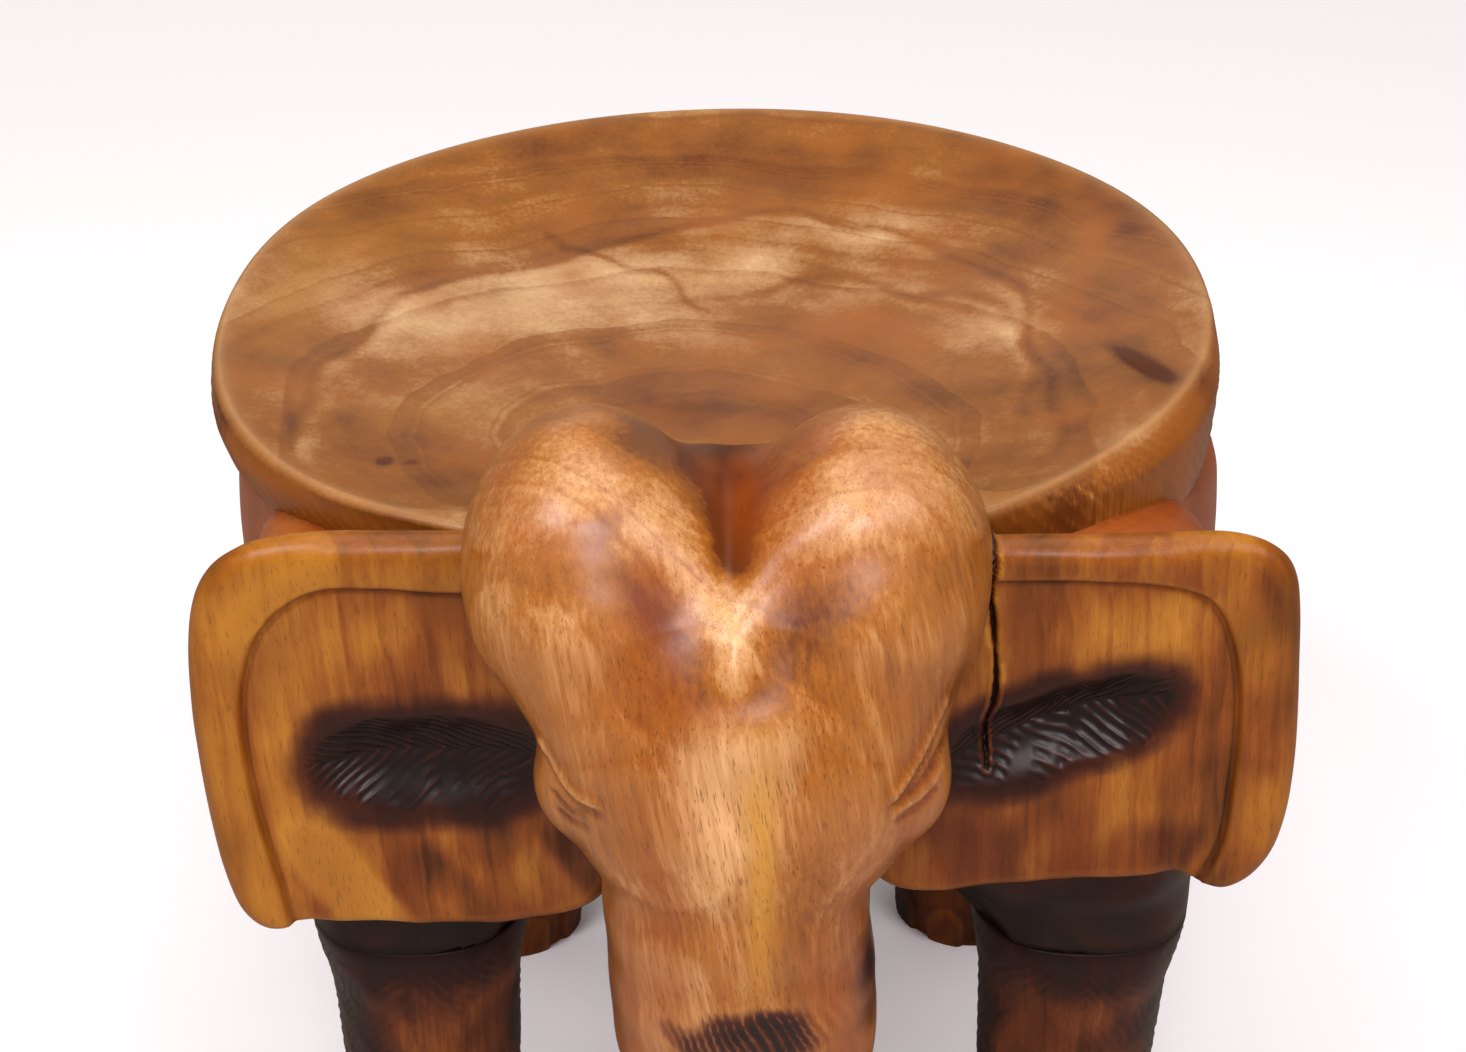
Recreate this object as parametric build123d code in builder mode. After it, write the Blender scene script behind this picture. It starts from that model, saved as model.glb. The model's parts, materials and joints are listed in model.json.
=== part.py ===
"""A carved elephant stool: a round dished seat on the back of a standing elephant.

The elephant faces -Y and +Z is up. Left and right are the elephant's own, so its left side is at +X.
The stool is glued up from seasoned blocks and then carved: a seat, a body, a head with its trunk, two ears
and four leg posts, with dowels or turned tenons across every glue face. All sizes are in millimetres.
"""

import math
import os

from build123d import *

# --- Seat: a thick round slab, dished on top, whose wall draws in below the rim
seat_height = 315.0  # floor to the top of the rim
seat_diameter = 300.0
seat_thickness = 42.0  # underside to the top of the rim
seat_base_inset = 8.0  # the underside's radius is this much less than the rim's
rim_round = 7.0
rim_width = 9.0  # from the outside to where the dish begins
dish_depth = 22.0
dish_floor_radius = 80.0  # where the flatter middle of the dish turns up

# --- Body: a barrel with four haunches, and a yoke across the shoulders that carries the ears
body_height = 106.0  # belly to the underside of the seat
flank_inset = 1.0  # the barrel's sides lie this far inside the rim
rump_inset = 3.0  # and its back this far
neck_setback = 17.0  # the flat face that head and ears are glued to lies this far inside the rim
haunch_swell = 8.0  # how much thicker a haunch is than the top of its leg
collar_inset = 3.0  # the collar that rises round the front of the seat lies this far inside the rim
collar_depth = 30.0  # how far it runs down into the barrel
collar_back = 20.0  # where its top meets the seat's underside, in front of the seat's axis
yoke_inset = 14.0  # its ends lie this far inside the ears' outer edges
yoke_depth = 62.0
yoke_drop = 14.0  # its top lies this far below the rim
yoke_height = 92.0
yoke_corner = 38.0
yoke_taper = 8.0  # degrees, narrower towards the chest
tail_radius = 6.5
tail_length = 88.0
tail_drop = 12.0  # its root below the seat

# --- Legs: round posts with a flared foot and a turned tenon
leg_top_radius = 30.0
leg_shin_radius = 26.0
foot_radius = 31.0
foot_height = 18.0
sole_round = 3.0
front_leg_inset = 51.0  # the leg's axis inside the barrel's side
front_leg_setback = 31.0  # and behind the face that the ears are glued to
rear_leg_inset = 61.0
rear_leg_setback = 57.0  # the leg's axis in front of the barrel's back
tenon_radius = 14.0
tenon_length = 38.0

# --- Head: two domes, a forehead that narrows past the eyes, and a trunk that curls forward
dome_radius = 33.0
dome_base_radius = 28.0  # where they stand on the body
dome_spacing = 69.0  # centre to centre
dome_rise = 4.5  # their centres above the rim
dome_forward = 13.0  # their centres in front of the glue face
saddle_radius = 13.0  # of the round ridge that joins the domes, at the bottom of the cleft
saddle_rise = 4.0  # its back end above the rim
saddle_setback = 15.0  # and behind the glue face
saddle_length = 52.0
saddle_slope = 22.0  # degrees down towards the face
brow_half_width = 60.0
eye_half_width = 53.0
trunk_half_width = 34.5
tip_radius = 15.0
tip_forward = 108.0  # from the glue face to the end of the tip
tip_drop = 226.0  # the tip's middle below the rim

# --- Ears: thick boards with a raised border along the top and the outer edge
ear_thickness = 17.0
ear_inset = 6.0  # the outer edge lies this far inside the rim
ear_inner = 40.0
ear_lean = 4.0  # how far the outer edge draws in towards the bottom
ear_rise = 4.0  # top edge above the rim
left_ear_height = 115.0
right_ear_height = 126.0  # the right ear is longer
ear_corner = 27.0
ear_lobe_round = 28.0
ear_border = 15.0
ear_recess = 4.0
hollow_depth = 9.0  # of the hollow across the middle of the ear
hollow_height = 32.0
hollow_length = 88.0
hollow_drop = 58.0  # its middle below the rim

# --- Dowels
seat_dowel_radius = 5.0
seat_dowel_length = 32.0
seat_dowel_spread = 76.0  # from the seat's axis, both ways
neck_dowel_radius = 6.0
neck_dowel_length = 46.0
neck_dowel_spread = 22.0
neck_dowel_drop = 62.0  # upper pair below the rim
neck_dowel_step = 26.0  # the lower one below the upper pair
ear_dowel_radius = 4.0
ear_dowel_length = 26.0
ear_dowel_bite = 8.0  # how far it goes into the ear
ear_dowel_inset = 20.0  # upper one from the yoke's end
ear_dowel_step = 25.0  # the lower one is this much nearer the middle
ear_dowel_edge = 12.0  # from the yoke's top and bottom
blind_gap = 1.0  # left for glue at each end of a dowel or tenon
fit_gap = 0.1  # radial, around dowels and tenons
scribe_gap = 0.3  # where a rounded face is cut to another

# --- Heights and reaches that follow from those sizes
seat_radius = seat_diameter / 2
seat_under = seat_height - seat_thickness
seat_base_radius = seat_radius - seat_base_inset
belly = seat_under - body_height
body_half_width = seat_radius - flank_inset
body_back = seat_radius - rump_inset
neck_reach = seat_radius - neck_setback
ear_outer = seat_radius - ear_inset
yoke_half_width = ear_outer - yoke_inset
haunch_radius = leg_top_radius + haunch_swell
front_reach = neck_reach + tip_forward
rear_reach = max(body_back + tail_radius, seat_radius)
seat_y = (front_reach - rear_reach) / 2  # puts the middle of the stool over the origin

# The head and trunk follow a path down the front of the neck that then curls forward. Each ring across it has:
# its drop below the rim, its middle in front of the glue face, the turn of the path in degrees,
# and its half-width, its reach to the front and its reach to the back.
HEAD_RINGS = [
    (-8, 13, 0, 0.80 * brow_half_width, 22, 26),
    (3, 14, 0, 0.97 * brow_half_width, 40, 30),
    (24, 14, 0, brow_half_width, 51, 30),
    (46, 14, 0, 1.03 * eye_half_width, 56, 30),
    (60, 16, 0, 0.95 * eye_half_width, 54, 30),
    (77, 20, 0, 1.19 * trunk_half_width, 50, 30),
    (96, 28, 0, 1.01 * trunk_half_width, 40, 30),
    (118, 35, 0, trunk_half_width, 34, 30),
    (138, 38, 2, 0.97 * trunk_half_width, 32, 29),
    (160, 40, 6, 0.84 * trunk_half_width, 28, 26),
    (184, 45, 18, 0.73 * trunk_half_width, 24, 23),
    (206, 56, 40, 0.62 * trunk_half_width, 20, 20),
    (tip_drop - 6, 76, 68, 0.52 * trunk_half_width, 17, 17),
    (tip_drop, tip_forward - 10, 84, tip_radius, tip_radius, tip_radius),
    (tip_drop, tip_forward, 90, 0.74 * tip_radius, 0.74 * tip_radius, 0.74 * tip_radius),
]

# How the barrel swells between the belly and the seat: share of its height, then shares of its full
# half-width, its reach to the front and its reach to the back.
BARREL_RINGS = [
    (0.00, 0.62, 0.66, 0.62),
    (0.14, 0.83, 0.86, 0.83),
    (0.42, 0.965, 0.99, 0.97),
    (0.72, 1.00, 1.01, 1.00),
    (0.90, 0.995, 1.01, 0.995),
    (1.00, 0.975, 1.00, 0.975),
]

# A haunch, from the top of its leg up into the barrel: share of the body's height, share of the leg's
# distance from the middle, radius.
HAUNCH_RINGS = [
    (0.00, 1.00, leg_top_radius),
    (0.28, 0.98, haunch_radius),
    (0.62, 0.93, haunch_radius),
    (0.90, 0.82, 0.75 * haunch_radius),
]

# The tail, carved down the rump: share of its length, then in tail radii its distance outside the rump and
# its own radius.
TAIL_RINGS = [
    (0.00, -0.9, 0.90),
    (0.30, 0.0, 1.00),
    (0.60, -0.3, 0.85),
    (0.85, -1.4, 1.10),
    (1.00, -2.1, 0.60),
]

LEGS = {
    f"leg_{end}_{side_name}": (side * (body_half_width - inset), along)
    for end, inset, along in (
        ("front", front_leg_inset, front_leg_setback - neck_reach),
        ("rear", rear_leg_inset, body_back - rear_leg_setback),
    )
    for side_name, side in (("left", 1), ("right", -1))
}

seat_dowel_places = [
    (across * seat_dowel_spread, along * seat_dowel_spread) for across in (-1, 1) for along in (-1, 1)
]
neck_dowel_places = [
    (-neck_dowel_spread, seat_height - neck_dowel_drop),
    (neck_dowel_spread, seat_height - neck_dowel_drop),
    (0, seat_height - neck_dowel_drop - neck_dowel_step),
]
ear_dowel_high = (yoke_half_width - ear_dowel_inset, seat_height - yoke_drop - ear_dowel_edge)
ear_dowel_low = (ear_dowel_high[0] - ear_dowel_step, seat_height - yoke_drop - yoke_height + ear_dowel_edge)


def level(height, y=0.0, turn=0.0):
    """A plane across the path at that height, y behind the seat's axis, tipped up towards the front by turn."""
    lean = math.radians(turn)
    return Plane(
        origin=(0, seat_y + y, height),
        x_dir=(1, 0, 0),
        z_dir=(0, math.sin(lean), math.cos(lean)),
    )


def upright(y):
    """A vertical plane y behind the seat's axis, facing forward. Its x is the stool's x and its y is height."""
    return Plane(origin=(0, seat_y + y, 0), x_dir=(1, 0, 0), z_dir=(0, -1, 0))


def oval(plane, half_width, front, back):
    """A face of two half ellipses of the same width, one to the front and one to the back."""
    with BuildSketch(plane) as face:
        with BuildLine():
            EllipticalCenterArc((0, 0), half_width, back, start_angle=0, arc_size=180)
            EllipticalCenterArc((0, 0), half_width, front, start_angle=180, arc_size=180)
        make_face()
    return face.sketch


def seat_blank(grow=0.0):
    """The seat before it is dished: a disc whose wall bellies out from the underside to the rim."""
    with BuildSketch(upright(0)) as half_section:
        with BuildLine():
            base = (seat_base_radius + grow, seat_under)
            rim = (seat_radius + grow, seat_height - rim_round)
            middle = (seat_radius + grow - 0.25 * seat_base_inset, (seat_under + seat_height - rim_round) / 2)
            ThreePointArc(base, middle, rim)
            Polyline(rim, (seat_radius + grow, seat_height), (0, seat_height), (0, seat_under), base)
        make_face()
    revolve(half_section.sketch, axis=Axis((0, seat_y, 0), (0, 0, 1)))


def head_block(grow=0.0):
    """The head and trunk in front of the glue face, and the two domes that reach back over the seat's edge."""
    rings = []
    for drop, forward, turn, half_width, front, back in HEAD_RINGS:
        plane = level(seat_height - drop, -neck_reach - forward, turn)
        rings.append(oval(plane, half_width + grow, front + grow, back + grow))
    loft(sections=rings)
    split(bisect_by=upright(-neck_reach), keep=Keep.TOP)
    dome_height = seat_thickness + dome_rise
    for side in (-1, 1):
        dome_foot = (side * dome_spacing / 2, seat_y - neck_reach - dome_forward, seat_under)
        with Locations(dome_foot):
            Cone(
                dome_base_radius + grow,
                dome_radius + grow,
                dome_height,
                align=(Align.CENTER, Align.CENTER, Align.MIN),
            )
            with Locations((0, 0, dome_height)):
                Sphere(dome_radius + grow)
    down = math.radians(saddle_slope)
    saddle = Plane(
        origin=(0, seat_y - neck_reach + saddle_setback, seat_height + saddle_rise),
        x_dir=(1, 0, 0),
        z_dir=(0, -math.cos(down), -math.sin(down)),
    )
    with BuildSketch(saddle) as ridge:
        Circle(saddle_radius + grow)
    extrude(ridge.sketch, amount=saddle_length)
    with Locations(saddle.origin):
        Sphere(saddle_radius + grow)


def blind_holes(plane, places, radius, depth):
    """Dowel holes of that depth, sunk along the plane's normal into the part being built."""
    with BuildSketch(plane) as mouths:
        with Locations(*places):
            Circle(radius + fit_gap)
    extrude(mouths.sketch, amount=depth, mode=Mode.SUBTRACT)


def dowels(plane, places, radius, length):
    """Round pegs of that length, centred on the plane."""
    with BuildSketch(plane) as ends:
        with Locations(*places):
            Circle(radius)
    extrude(ends.sketch, amount=length / 2, both=True)


def finish(name, piece):
    """Label the piece and write its file."""
    piece.label = name
    export_step(piece, f"parts/{name}.step")


os.makedirs("parts", exist_ok=True)

with BuildPart() as head_room:
    head_block(scribe_gap)

with BuildPart() as seat_room:
    seat_blank(scribe_gap)

# --- Seat -------------------------------------------------------------------------------------------------
with BuildPart() as seat:
    seat_blank()
    fillet(seat.edges().group_by(Axis.Z)[-1], rim_round)
    with BuildSketch(upright(0)):
        with BuildLine():
            dish_edge = (seat_radius - rim_width, seat_height)
            dish_floor = (0, seat_height - dish_depth)
            half_way = ((seat_radius - rim_width + dish_floor_radius) / 2, seat_height - 0.6 * dish_depth)
            Spline(
                dish_edge,
                half_way,
                (dish_floor_radius, seat_height - 0.9 * dish_depth),
                dish_floor,
                tangents=[(-1, -0.3), (-1, 0)],
            )
            Polyline(dish_floor, (0, seat_height + 1), (seat_radius - rim_width, seat_height + 1), dish_edge)
        make_face()
    revolve(axis=Axis((0, seat_y, 0), (0, 0, 1)), mode=Mode.SUBTRACT)
    # the front is sawn flat where the head is glued on, and notched round the back of the domes
    split(bisect_by=upright(-neck_reach), keep=Keep.BOTTOM)
    add(head_room.part, mode=Mode.SUBTRACT)
    blind_holes(level(seat_under), seat_dowel_places, seat_dowel_radius, seat_dowel_length / 2 + blind_gap)
finish("seat", seat.part)


# --- Body -------------------------------------------------------------------------------------------------
# the yoke behind the ears and the collar round the front of the seat, with one top that slopes down to the back
with BuildPart() as shoulders:
    with BuildSketch(level(seat_height - yoke_drop)):
        with Locations((0, -neck_reach + yoke_depth / 2 - yoke_corner / 2)):
            RectangleRounded(2 * yoke_half_width, yoke_depth + yoke_corner, yoke_corner)
    extrude(amount=-yoke_height, taper=yoke_taper)
    with BuildSketch(level(seat_under - collar_depth)) as collar:
        Circle(seat_radius - collar_inset)
    extrude(collar.sketch, amount=collar_depth + seat_thickness - yoke_drop)
    collar_front = neck_reach - yoke_depth / 4
    collar_top = Plane(
        origin=(0, seat_y - collar_back, seat_under),
        x_dir=(1, 0, 0),
        z_dir=(0, seat_thickness - yoke_drop, collar_front - collar_back),
    )
    split(bisect_by=collar_top, keep=Keep.BOTTOM)

with BuildPart() as body:
    barrel = []
    for share, width, front, back in BARREL_RINGS:
        plane = level(belly + share * body_height)
        barrel.append(oval(plane, width * body_half_width, front * neck_reach, back * body_back))
    loft(sections=barrel)
    for leg_x, leg_y in LEGS.values():
        for share, inward, radius in HAUNCH_RINGS:
            with BuildSketch(level(belly + share * body_height)):
                with Locations((inward * leg_x, inward * leg_y)):
                    Circle(radius)
        loft()
    add(shoulders.part)
    tail = []
    for share, outward, radius in TAIL_RINGS:
        plane = level(seat_under - tail_drop - share * tail_length, body_back + outward * tail_radius)
        tail.append(oval(plane, radius * tail_radius, tail_radius, radius * tail_radius))
    loft(sections=tail)
    split(bisect_by=upright(-neck_reach), keep=Keep.BOTTOM)
    # room for the seat and for the domes, then the dowel holes and the mortises for the legs
    add(seat_room.part, mode=Mode.SUBTRACT)
    add(head_room.part, mode=Mode.SUBTRACT)
    blind_holes(
        level(seat_under), seat_dowel_places, seat_dowel_radius, -(seat_dowel_length / 2 + blind_gap)
    )
    blind_holes(
        upright(-neck_reach), neck_dowel_places, neck_dowel_radius, -(neck_dowel_length / 2 + blind_gap)
    )
    blind_holes(level(belly), LEGS.values(), tenon_radius, tenon_length + blind_gap)
    for side in (-1, 1):
        places = [(side * x, z) for x, z in (ear_dowel_high, ear_dowel_low)]
        depth = ear_dowel_length - ear_dowel_bite + blind_gap
        blind_holes(upright(-neck_reach), places, ear_dowel_radius, -depth)
finish("body", body.part)


# --- Head and trunk ---------------------------------------------------------------------------------------
with BuildPart() as head:
    head_block()
    blind_holes(
        upright(-neck_reach), neck_dowel_places, neck_dowel_radius, neck_dowel_length / 2 + blind_gap
    )
finish("head", head.part)


# --- Ears -------------------------------------------------------------------------------------------------
def carve_ear(side, height):
    """One ear board: outline, raised border, hollow across the middle, inner edge scribed to the head."""
    top = seat_height + ear_rise
    bottom = top - height
    face = -neck_reach - ear_thickness
    with BuildPart() as ear:
        with BuildSketch(upright(-neck_reach)):
            with BuildLine():
                FilletPolyline(
                    (side * ear_inner, top),
                    (side * ear_outer, top),
                    (side * (ear_outer - ear_lean), bottom),
                    (side * ear_inner, bottom),
                    radius=[4.0, ear_corner, ear_lobe_round, ear_lobe_round / 2],
                    close=True,
                )
            make_face()
        extrude(amount=ear_thickness)
        with BuildSketch(upright(face)) as pocket:
            with BuildLine():
                Polyline(
                    (0, top - ear_border),
                    (side * (ear_outer - ear_border), top - ear_border),
                    (side * (ear_outer - ear_border - ear_lean), bottom - ear_border),
                    (0, bottom - ear_border),
                    close=True,
                )
            make_face()
            corners = pocket.vertices().group_by(Axis.Z)[-1].sort_by(Axis.X)
            fillet(corners[-1] if side > 0 else corners[0], ear_corner - ear_border / 2)
        extrude(amount=-ear_recess, mode=Mode.SUBTRACT)
        # the hollow is the side of a spindle that lies across the ear
        spindle_radius = (hollow_height**2 / 4 + hollow_depth**2) / (2 * hollow_depth)
        spindle_end = spindle_radius - hollow_depth
        middle_x = side * (ear_inner + ear_outer + ear_border) / 2
        spindle = Plane(
            origin=(middle_x, seat_y + face - spindle_end, seat_height - hollow_drop),
            x_dir=(1, 0, 0),
            z_dir=(0, 0, 1),
        )
        with BuildSketch(spindle):
            with BuildLine():
                left_end = (-hollow_length / 2, spindle_end)
                right_end = (hollow_length / 2, spindle_end)
                ThreePointArc(left_end, (0, spindle_radius), right_end)
                Polyline(right_end, (hollow_length / 2, 0), (-hollow_length / 2, 0), left_end)
            make_face()
        revolve(axis=Axis(spindle.origin, spindle.x_dir), mode=Mode.SUBTRACT)
        add(head_room.part, mode=Mode.SUBTRACT)
        places = [(side * x, z) for x, z in (ear_dowel_high, ear_dowel_low)]
        blind_holes(upright(-neck_reach), places, ear_dowel_radius, ear_dowel_bite + blind_gap)
    return ear.part


finish("ear_left", carve_ear(1, left_ear_height))
finish("ear_right", carve_ear(-1, right_ear_height))


# --- Legs -------------------------------------------------------------------------------------------------
for leg_name, (leg_x, leg_y) in LEGS.items():
    with BuildPart() as leg:
        with BuildSketch(Plane(origin=(leg_x, seat_y + leg_y, 0), x_dir=(1, 0, 0), z_dir=(0, -1, 0))):
            with BuildLine():
                ankle = foot_height + 0.25 * (belly - foot_height)
                Polyline(
                    (leg_top_radius, belly),
                    (tenon_radius, belly),
                    (tenon_radius, belly + tenon_length),
                    (0, belly + tenon_length),
                    (0, 0),
                    (foot_radius - sole_round, 0),
                )
                RadiusArc((foot_radius - sole_round, 0), (foot_radius, sole_round), -sole_round)
                Line((foot_radius, sole_round), (foot_radius, foot_height))
                Spline(
                    (foot_radius, foot_height),
                    (leg_shin_radius, ankle),
                    (leg_top_radius, belly),
                    tangents=[(-0.5, 1), (0, 1)],
                )
            make_face()
        revolve(axis=Axis((leg_x, seat_y + leg_y, 0), (0, 0, 1)))
    finish(leg_name, leg.part)


# --- Dowels -----------------------------------------------------------------------------------------------
with BuildPart() as seat_dowels:
    dowels(level(seat_under), seat_dowel_places, seat_dowel_radius, seat_dowel_length)
finish("seat_dowels", seat_dowels.part)

with BuildPart() as neck_dowels:
    dowels(upright(-neck_reach), neck_dowel_places, neck_dowel_radius, neck_dowel_length)
finish("neck_dowels", neck_dowels.part)

with BuildPart() as ear_dowels:
    centre = -neck_reach - ear_dowel_bite + ear_dowel_length / 2
    places = [(side * x, z) for side in (-1, 1) for x, z in (ear_dowel_high, ear_dowel_low)]
    dowels(upright(centre), places, ear_dowel_radius, ear_dowel_length)
finish("ear_dowels", ear_dowels.part)
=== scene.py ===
# %% [markdown]
# # A carved elephant stool
#
# The stool is a round dished seat on the back of a standing elephant, glued up from blocks, carved with
# gouges, scorched dark in its hollows and varnished. The blocks, their joints and their sizes are already
# fixed in the CAD model. This script loads that model as a frame that doesn't move, and gives every block
# its carved surface and its wood.

# %% The frame
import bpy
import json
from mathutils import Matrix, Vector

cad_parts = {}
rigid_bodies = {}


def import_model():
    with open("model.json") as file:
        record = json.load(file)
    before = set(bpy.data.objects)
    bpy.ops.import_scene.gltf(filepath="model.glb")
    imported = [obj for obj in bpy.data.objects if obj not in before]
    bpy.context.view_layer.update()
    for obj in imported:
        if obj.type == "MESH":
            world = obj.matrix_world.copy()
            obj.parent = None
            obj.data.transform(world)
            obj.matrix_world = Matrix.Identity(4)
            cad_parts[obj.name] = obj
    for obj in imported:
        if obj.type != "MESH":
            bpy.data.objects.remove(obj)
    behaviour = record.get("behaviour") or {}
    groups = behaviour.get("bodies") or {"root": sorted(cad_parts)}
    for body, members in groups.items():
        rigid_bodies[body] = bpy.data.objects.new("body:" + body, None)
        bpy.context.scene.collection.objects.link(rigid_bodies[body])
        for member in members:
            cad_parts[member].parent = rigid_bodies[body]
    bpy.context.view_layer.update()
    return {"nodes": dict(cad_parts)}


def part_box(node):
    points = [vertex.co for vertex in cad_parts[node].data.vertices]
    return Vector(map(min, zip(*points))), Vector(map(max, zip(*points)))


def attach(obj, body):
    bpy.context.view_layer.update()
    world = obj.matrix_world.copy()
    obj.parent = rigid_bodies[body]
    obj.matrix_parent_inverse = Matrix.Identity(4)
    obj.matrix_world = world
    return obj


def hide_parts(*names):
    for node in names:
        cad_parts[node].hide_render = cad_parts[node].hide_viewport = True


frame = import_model()
print("nodes:", ", ".join(sorted(frame["nodes"])))

# %% [markdown]
# All shapes below are worked out in millimetres from one home point: the middle of the seat, at the height
# of its rim. x runs to the elephant's left, y to its tail and z up. The main sizes are read from the frame,
# so that the carved surfaces stay on the blocks that they stand for.

# %% Home point and main sizes
import json
import math
from functools import partial

import bpy
import numpy as np
from mathutils import Matrix, Vector

MM = 0.001
seat_low, seat_high = (np.array(corner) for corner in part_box("seat"))
body_low = np.array(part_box("body")[0])
seat_radius = (seat_high[0] - seat_low[0]) / 2 / MM
home = np.array([0.0, seat_high[1] - seat_radius * MM, seat_high[2]])
seat_under = (seat_low[2] - home[2]) / MM
belly = (body_low[2] - home[2]) / MM
floor_z = -home[2] / MM
glue_y = (body_low[1] - home[1]) / MM
print(f"seat radius {seat_radius:.0f}, underside {seat_under:.0f}, belly {belly:.0f}, floor {floor_z:.0f} mm")


def ease(x, low, high):
    """0 below low, 1 above high, and the cubic 3t^2 - 2t^3 between them."""
    t = np.clip((x - low) / (high - low), 0.0, 1.0)
    return t * t * (3.0 - 2.0 * t)


def hump(x, centre, width):
    """A bell: 1 at the centre, e^(-1) one width away from it."""
    return np.exp(-(((x - centre) / width) ** 2))


def round_turn(count):
    """Evenly spaced angles round one full turn, in radians."""
    return np.linspace(0, 2 * math.pi, count, endpoint=False)


def vectors(*parts):
    """Points or directions from arrays of their x, y and z. A part may be one number for all."""
    return np.stack(np.broadcast_arrays(*parts), axis=-1)


def lengths(v, keepdims=False):
    """How long each vector is. With keepdims the result can divide the vectors."""
    return np.linalg.norm(v, axis=-1, keepdims=keepdims)


# %% [markdown]
# ## Skins
#
# Each carved block is one closed skin. Its points are a grid: rows run from one pole to the other, columns
# run round. The grid could be bridged by hand, but a function that takes any grid keeps every piece short.

# %% A closed skin from a grid of points
def skin(name, points, marks, material):
    """A closed mesh from points[row, column], in millimetres from home. Columns wrap round. The first and the
    last row shrink to one point each, and fans of triangles close the mesh there. marks are values on the
    points, for the wood to read."""
    rows, columns, _ = points.shape
    top, bottom = points[0].mean(axis=0), points[-1].mean(axis=0)
    inner = points[1:-1].reshape(-1, 3)
    vertices = np.vstack([inner, top, bottom]) * MM + home
    index = np.arange((rows - 2) * columns).reshape(rows - 2, columns)
    beside = np.roll(index, -1, axis=1)
    quads = np.stack([index[:-1], index[1:], beside[1:], beside[:-1]], axis=-1).reshape(-1, 4)
    first, last = len(inner), len(inner) + 1
    fan_top = vectors(first, index[0], beside[0])
    fan_bottom = vectors(last, beside[-1], index[-1])
    corners = vertices[quads]
    volume = np.einsum("ij,ij->", np.cross(corners[:, 0], corners[:, 1]), corners[:, 2])
    if volume < 0:
        quads, fan_top, fan_bottom = quads[:, ::-1], fan_top[:, ::-1], fan_bottom[:, ::-1]
    mesh = bpy.data.meshes.new(name)
    mesh.from_pydata(vertices.tolist(), [], quads.tolist() + fan_top.tolist() + fan_bottom.tolist())
    mesh.polygons.foreach_set("use_smooth", np.ones(len(mesh.polygons), dtype=bool))
    for mark, values in marks.items():
        layer = mesh.attributes.new(mark, "FLOAT", "POINT")
        ends = [values[0].mean(), values[-1].mean()]
        layer.data.foreach_set("value", np.concatenate([values[1:-1].ravel(), ends]).astype(np.float32))
    mesh.materials.append(material)
    piece = bpy.data.objects.new(name, mesh)
    bpy.context.scene.collection.objects.link(piece)
    print(f"{name}: {2 * len(quads) + 2 * columns} triangles")
    return piece


def outward(points):
    """Unit normals of a grid that wraps in its columns: the cross product of its two directions, turned so
    that they point away from the middle."""
    along = np.gradient(points, axis=0)
    wrapped = np.concatenate([points[:, -1:], points, points[:, :1]], axis=1)
    around = (wrapped[:, 2:] - wrapped[:, :-2]) / 2
    normal = np.cross(along, around)
    away = np.einsum("ijk,ijk->", normal, points - points.mean(axis=(0, 1)))
    return math.copysign(1.0, away) * normal / np.maximum(lengths(normal, keepdims=True), 1e-9)


def crests(points, rounds=8, full=0.12):
    """How far each point stands proud of its neighbourhood, from -1 in a valley to 1 on a crest. The grid is
    blurred by averaging neighbours; full is the height in millimetres that counts as 1."""
    blurred = points
    for _ in range(rounds):
        sides = np.roll(blurred, 1, axis=1) + np.roll(blurred, -1, axis=1)
        ends = np.concatenate([blurred[:1], blurred[:-1]]) + np.concatenate([blurred[1:], blurred[-1:]])
        blurred = (blurred * 2 + sides + ends) / 6
    height = np.einsum("ijk,ijk->ij", points - blurred, outward(points))
    return np.clip(height / full, -1, 1)


# %% [markdown]
# ## Carving by distance
#
# A head or a body is several rounded masses that run into each other. Each mass is a distance function: it
# is negative inside the mass and positive outside. A smooth minimum joins masses with a rounded valley, as a
# gouge leaves it. A ray from inside then finds the skin where the joined distance is zero. Boolean cuts would
# leave hard seams there, and a sculpt by hand could not be read or changed.

# %% Distances
def soft_union(a, b, round_over):
    """The smaller of two distances, with the valley between them rounded over that many millimetres."""
    share = np.clip(0.5 + 0.5 * (b - a) / round_over, 0.0, 1.0)
    return b * (1 - share) + a * share - round_over * share * (1 - share)


def egg(p, centre, radii):
    """Distance to an ellipsoid, good near its skin: |q| (|q| - 1) / |q / r|, with q the point over its radii."""
    q = (p - centre) / radii
    size = lengths(q)
    return size * (size - 1.0) / np.maximum(lengths(q / radii), 1e-9)


def rod(p, start, end, start_radius, end_radius):
    """Distance to a rod with round ends whose radius runs evenly from one end to the other."""
    start, end = np.array(start, float), np.array(end, float)
    axis = end - start
    share = np.clip(((p - start) @ axis) / (axis @ axis), 0.0, 1.0)
    near = start + share[..., None] * axis
    return lengths(p - near) - (start_radius + (end_radius - start_radius) * share)


def block(p, centre, half, rounding):
    """Distance to a box with rounded edges."""
    q = np.abs(p - np.array(centre)) - (np.array(half) - rounding)
    return lengths(np.maximum(q, 0)) + np.minimum(q.max(axis=-1), 0) - rounding


def joined(first, *others):
    """Masses joined one after the other. Each of the others is (distance, how far its valley is rounded)."""
    for other, round_over in others:
        first = soft_union(first, other, round_over)
    return first


def rods(p, line, radii, round_over):
    """A bent rod through a line of places, as pairs for joined."""
    pieces = zip(line[:-1], line[1:], radii[:-1], radii[1:])
    return [(rod(p, *piece), round_over) for piece in pieces]


def cast(distance, origin, direction, reach, halvings=22):
    """Points where rays from inside meet the skin: the reach is halved again and again about the change of
    sign."""
    near = np.zeros(direction.shape[:-1])
    far = np.full(direction.shape[:-1], float(reach))
    for _ in range(halvings):
        middle = (near + far) / 2
        inside = distance(origin + middle[..., None] * direction) < 0
        near = np.where(inside, middle, near)
        far = np.where(inside, far, middle)
    return origin + near[..., None] * direction


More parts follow.
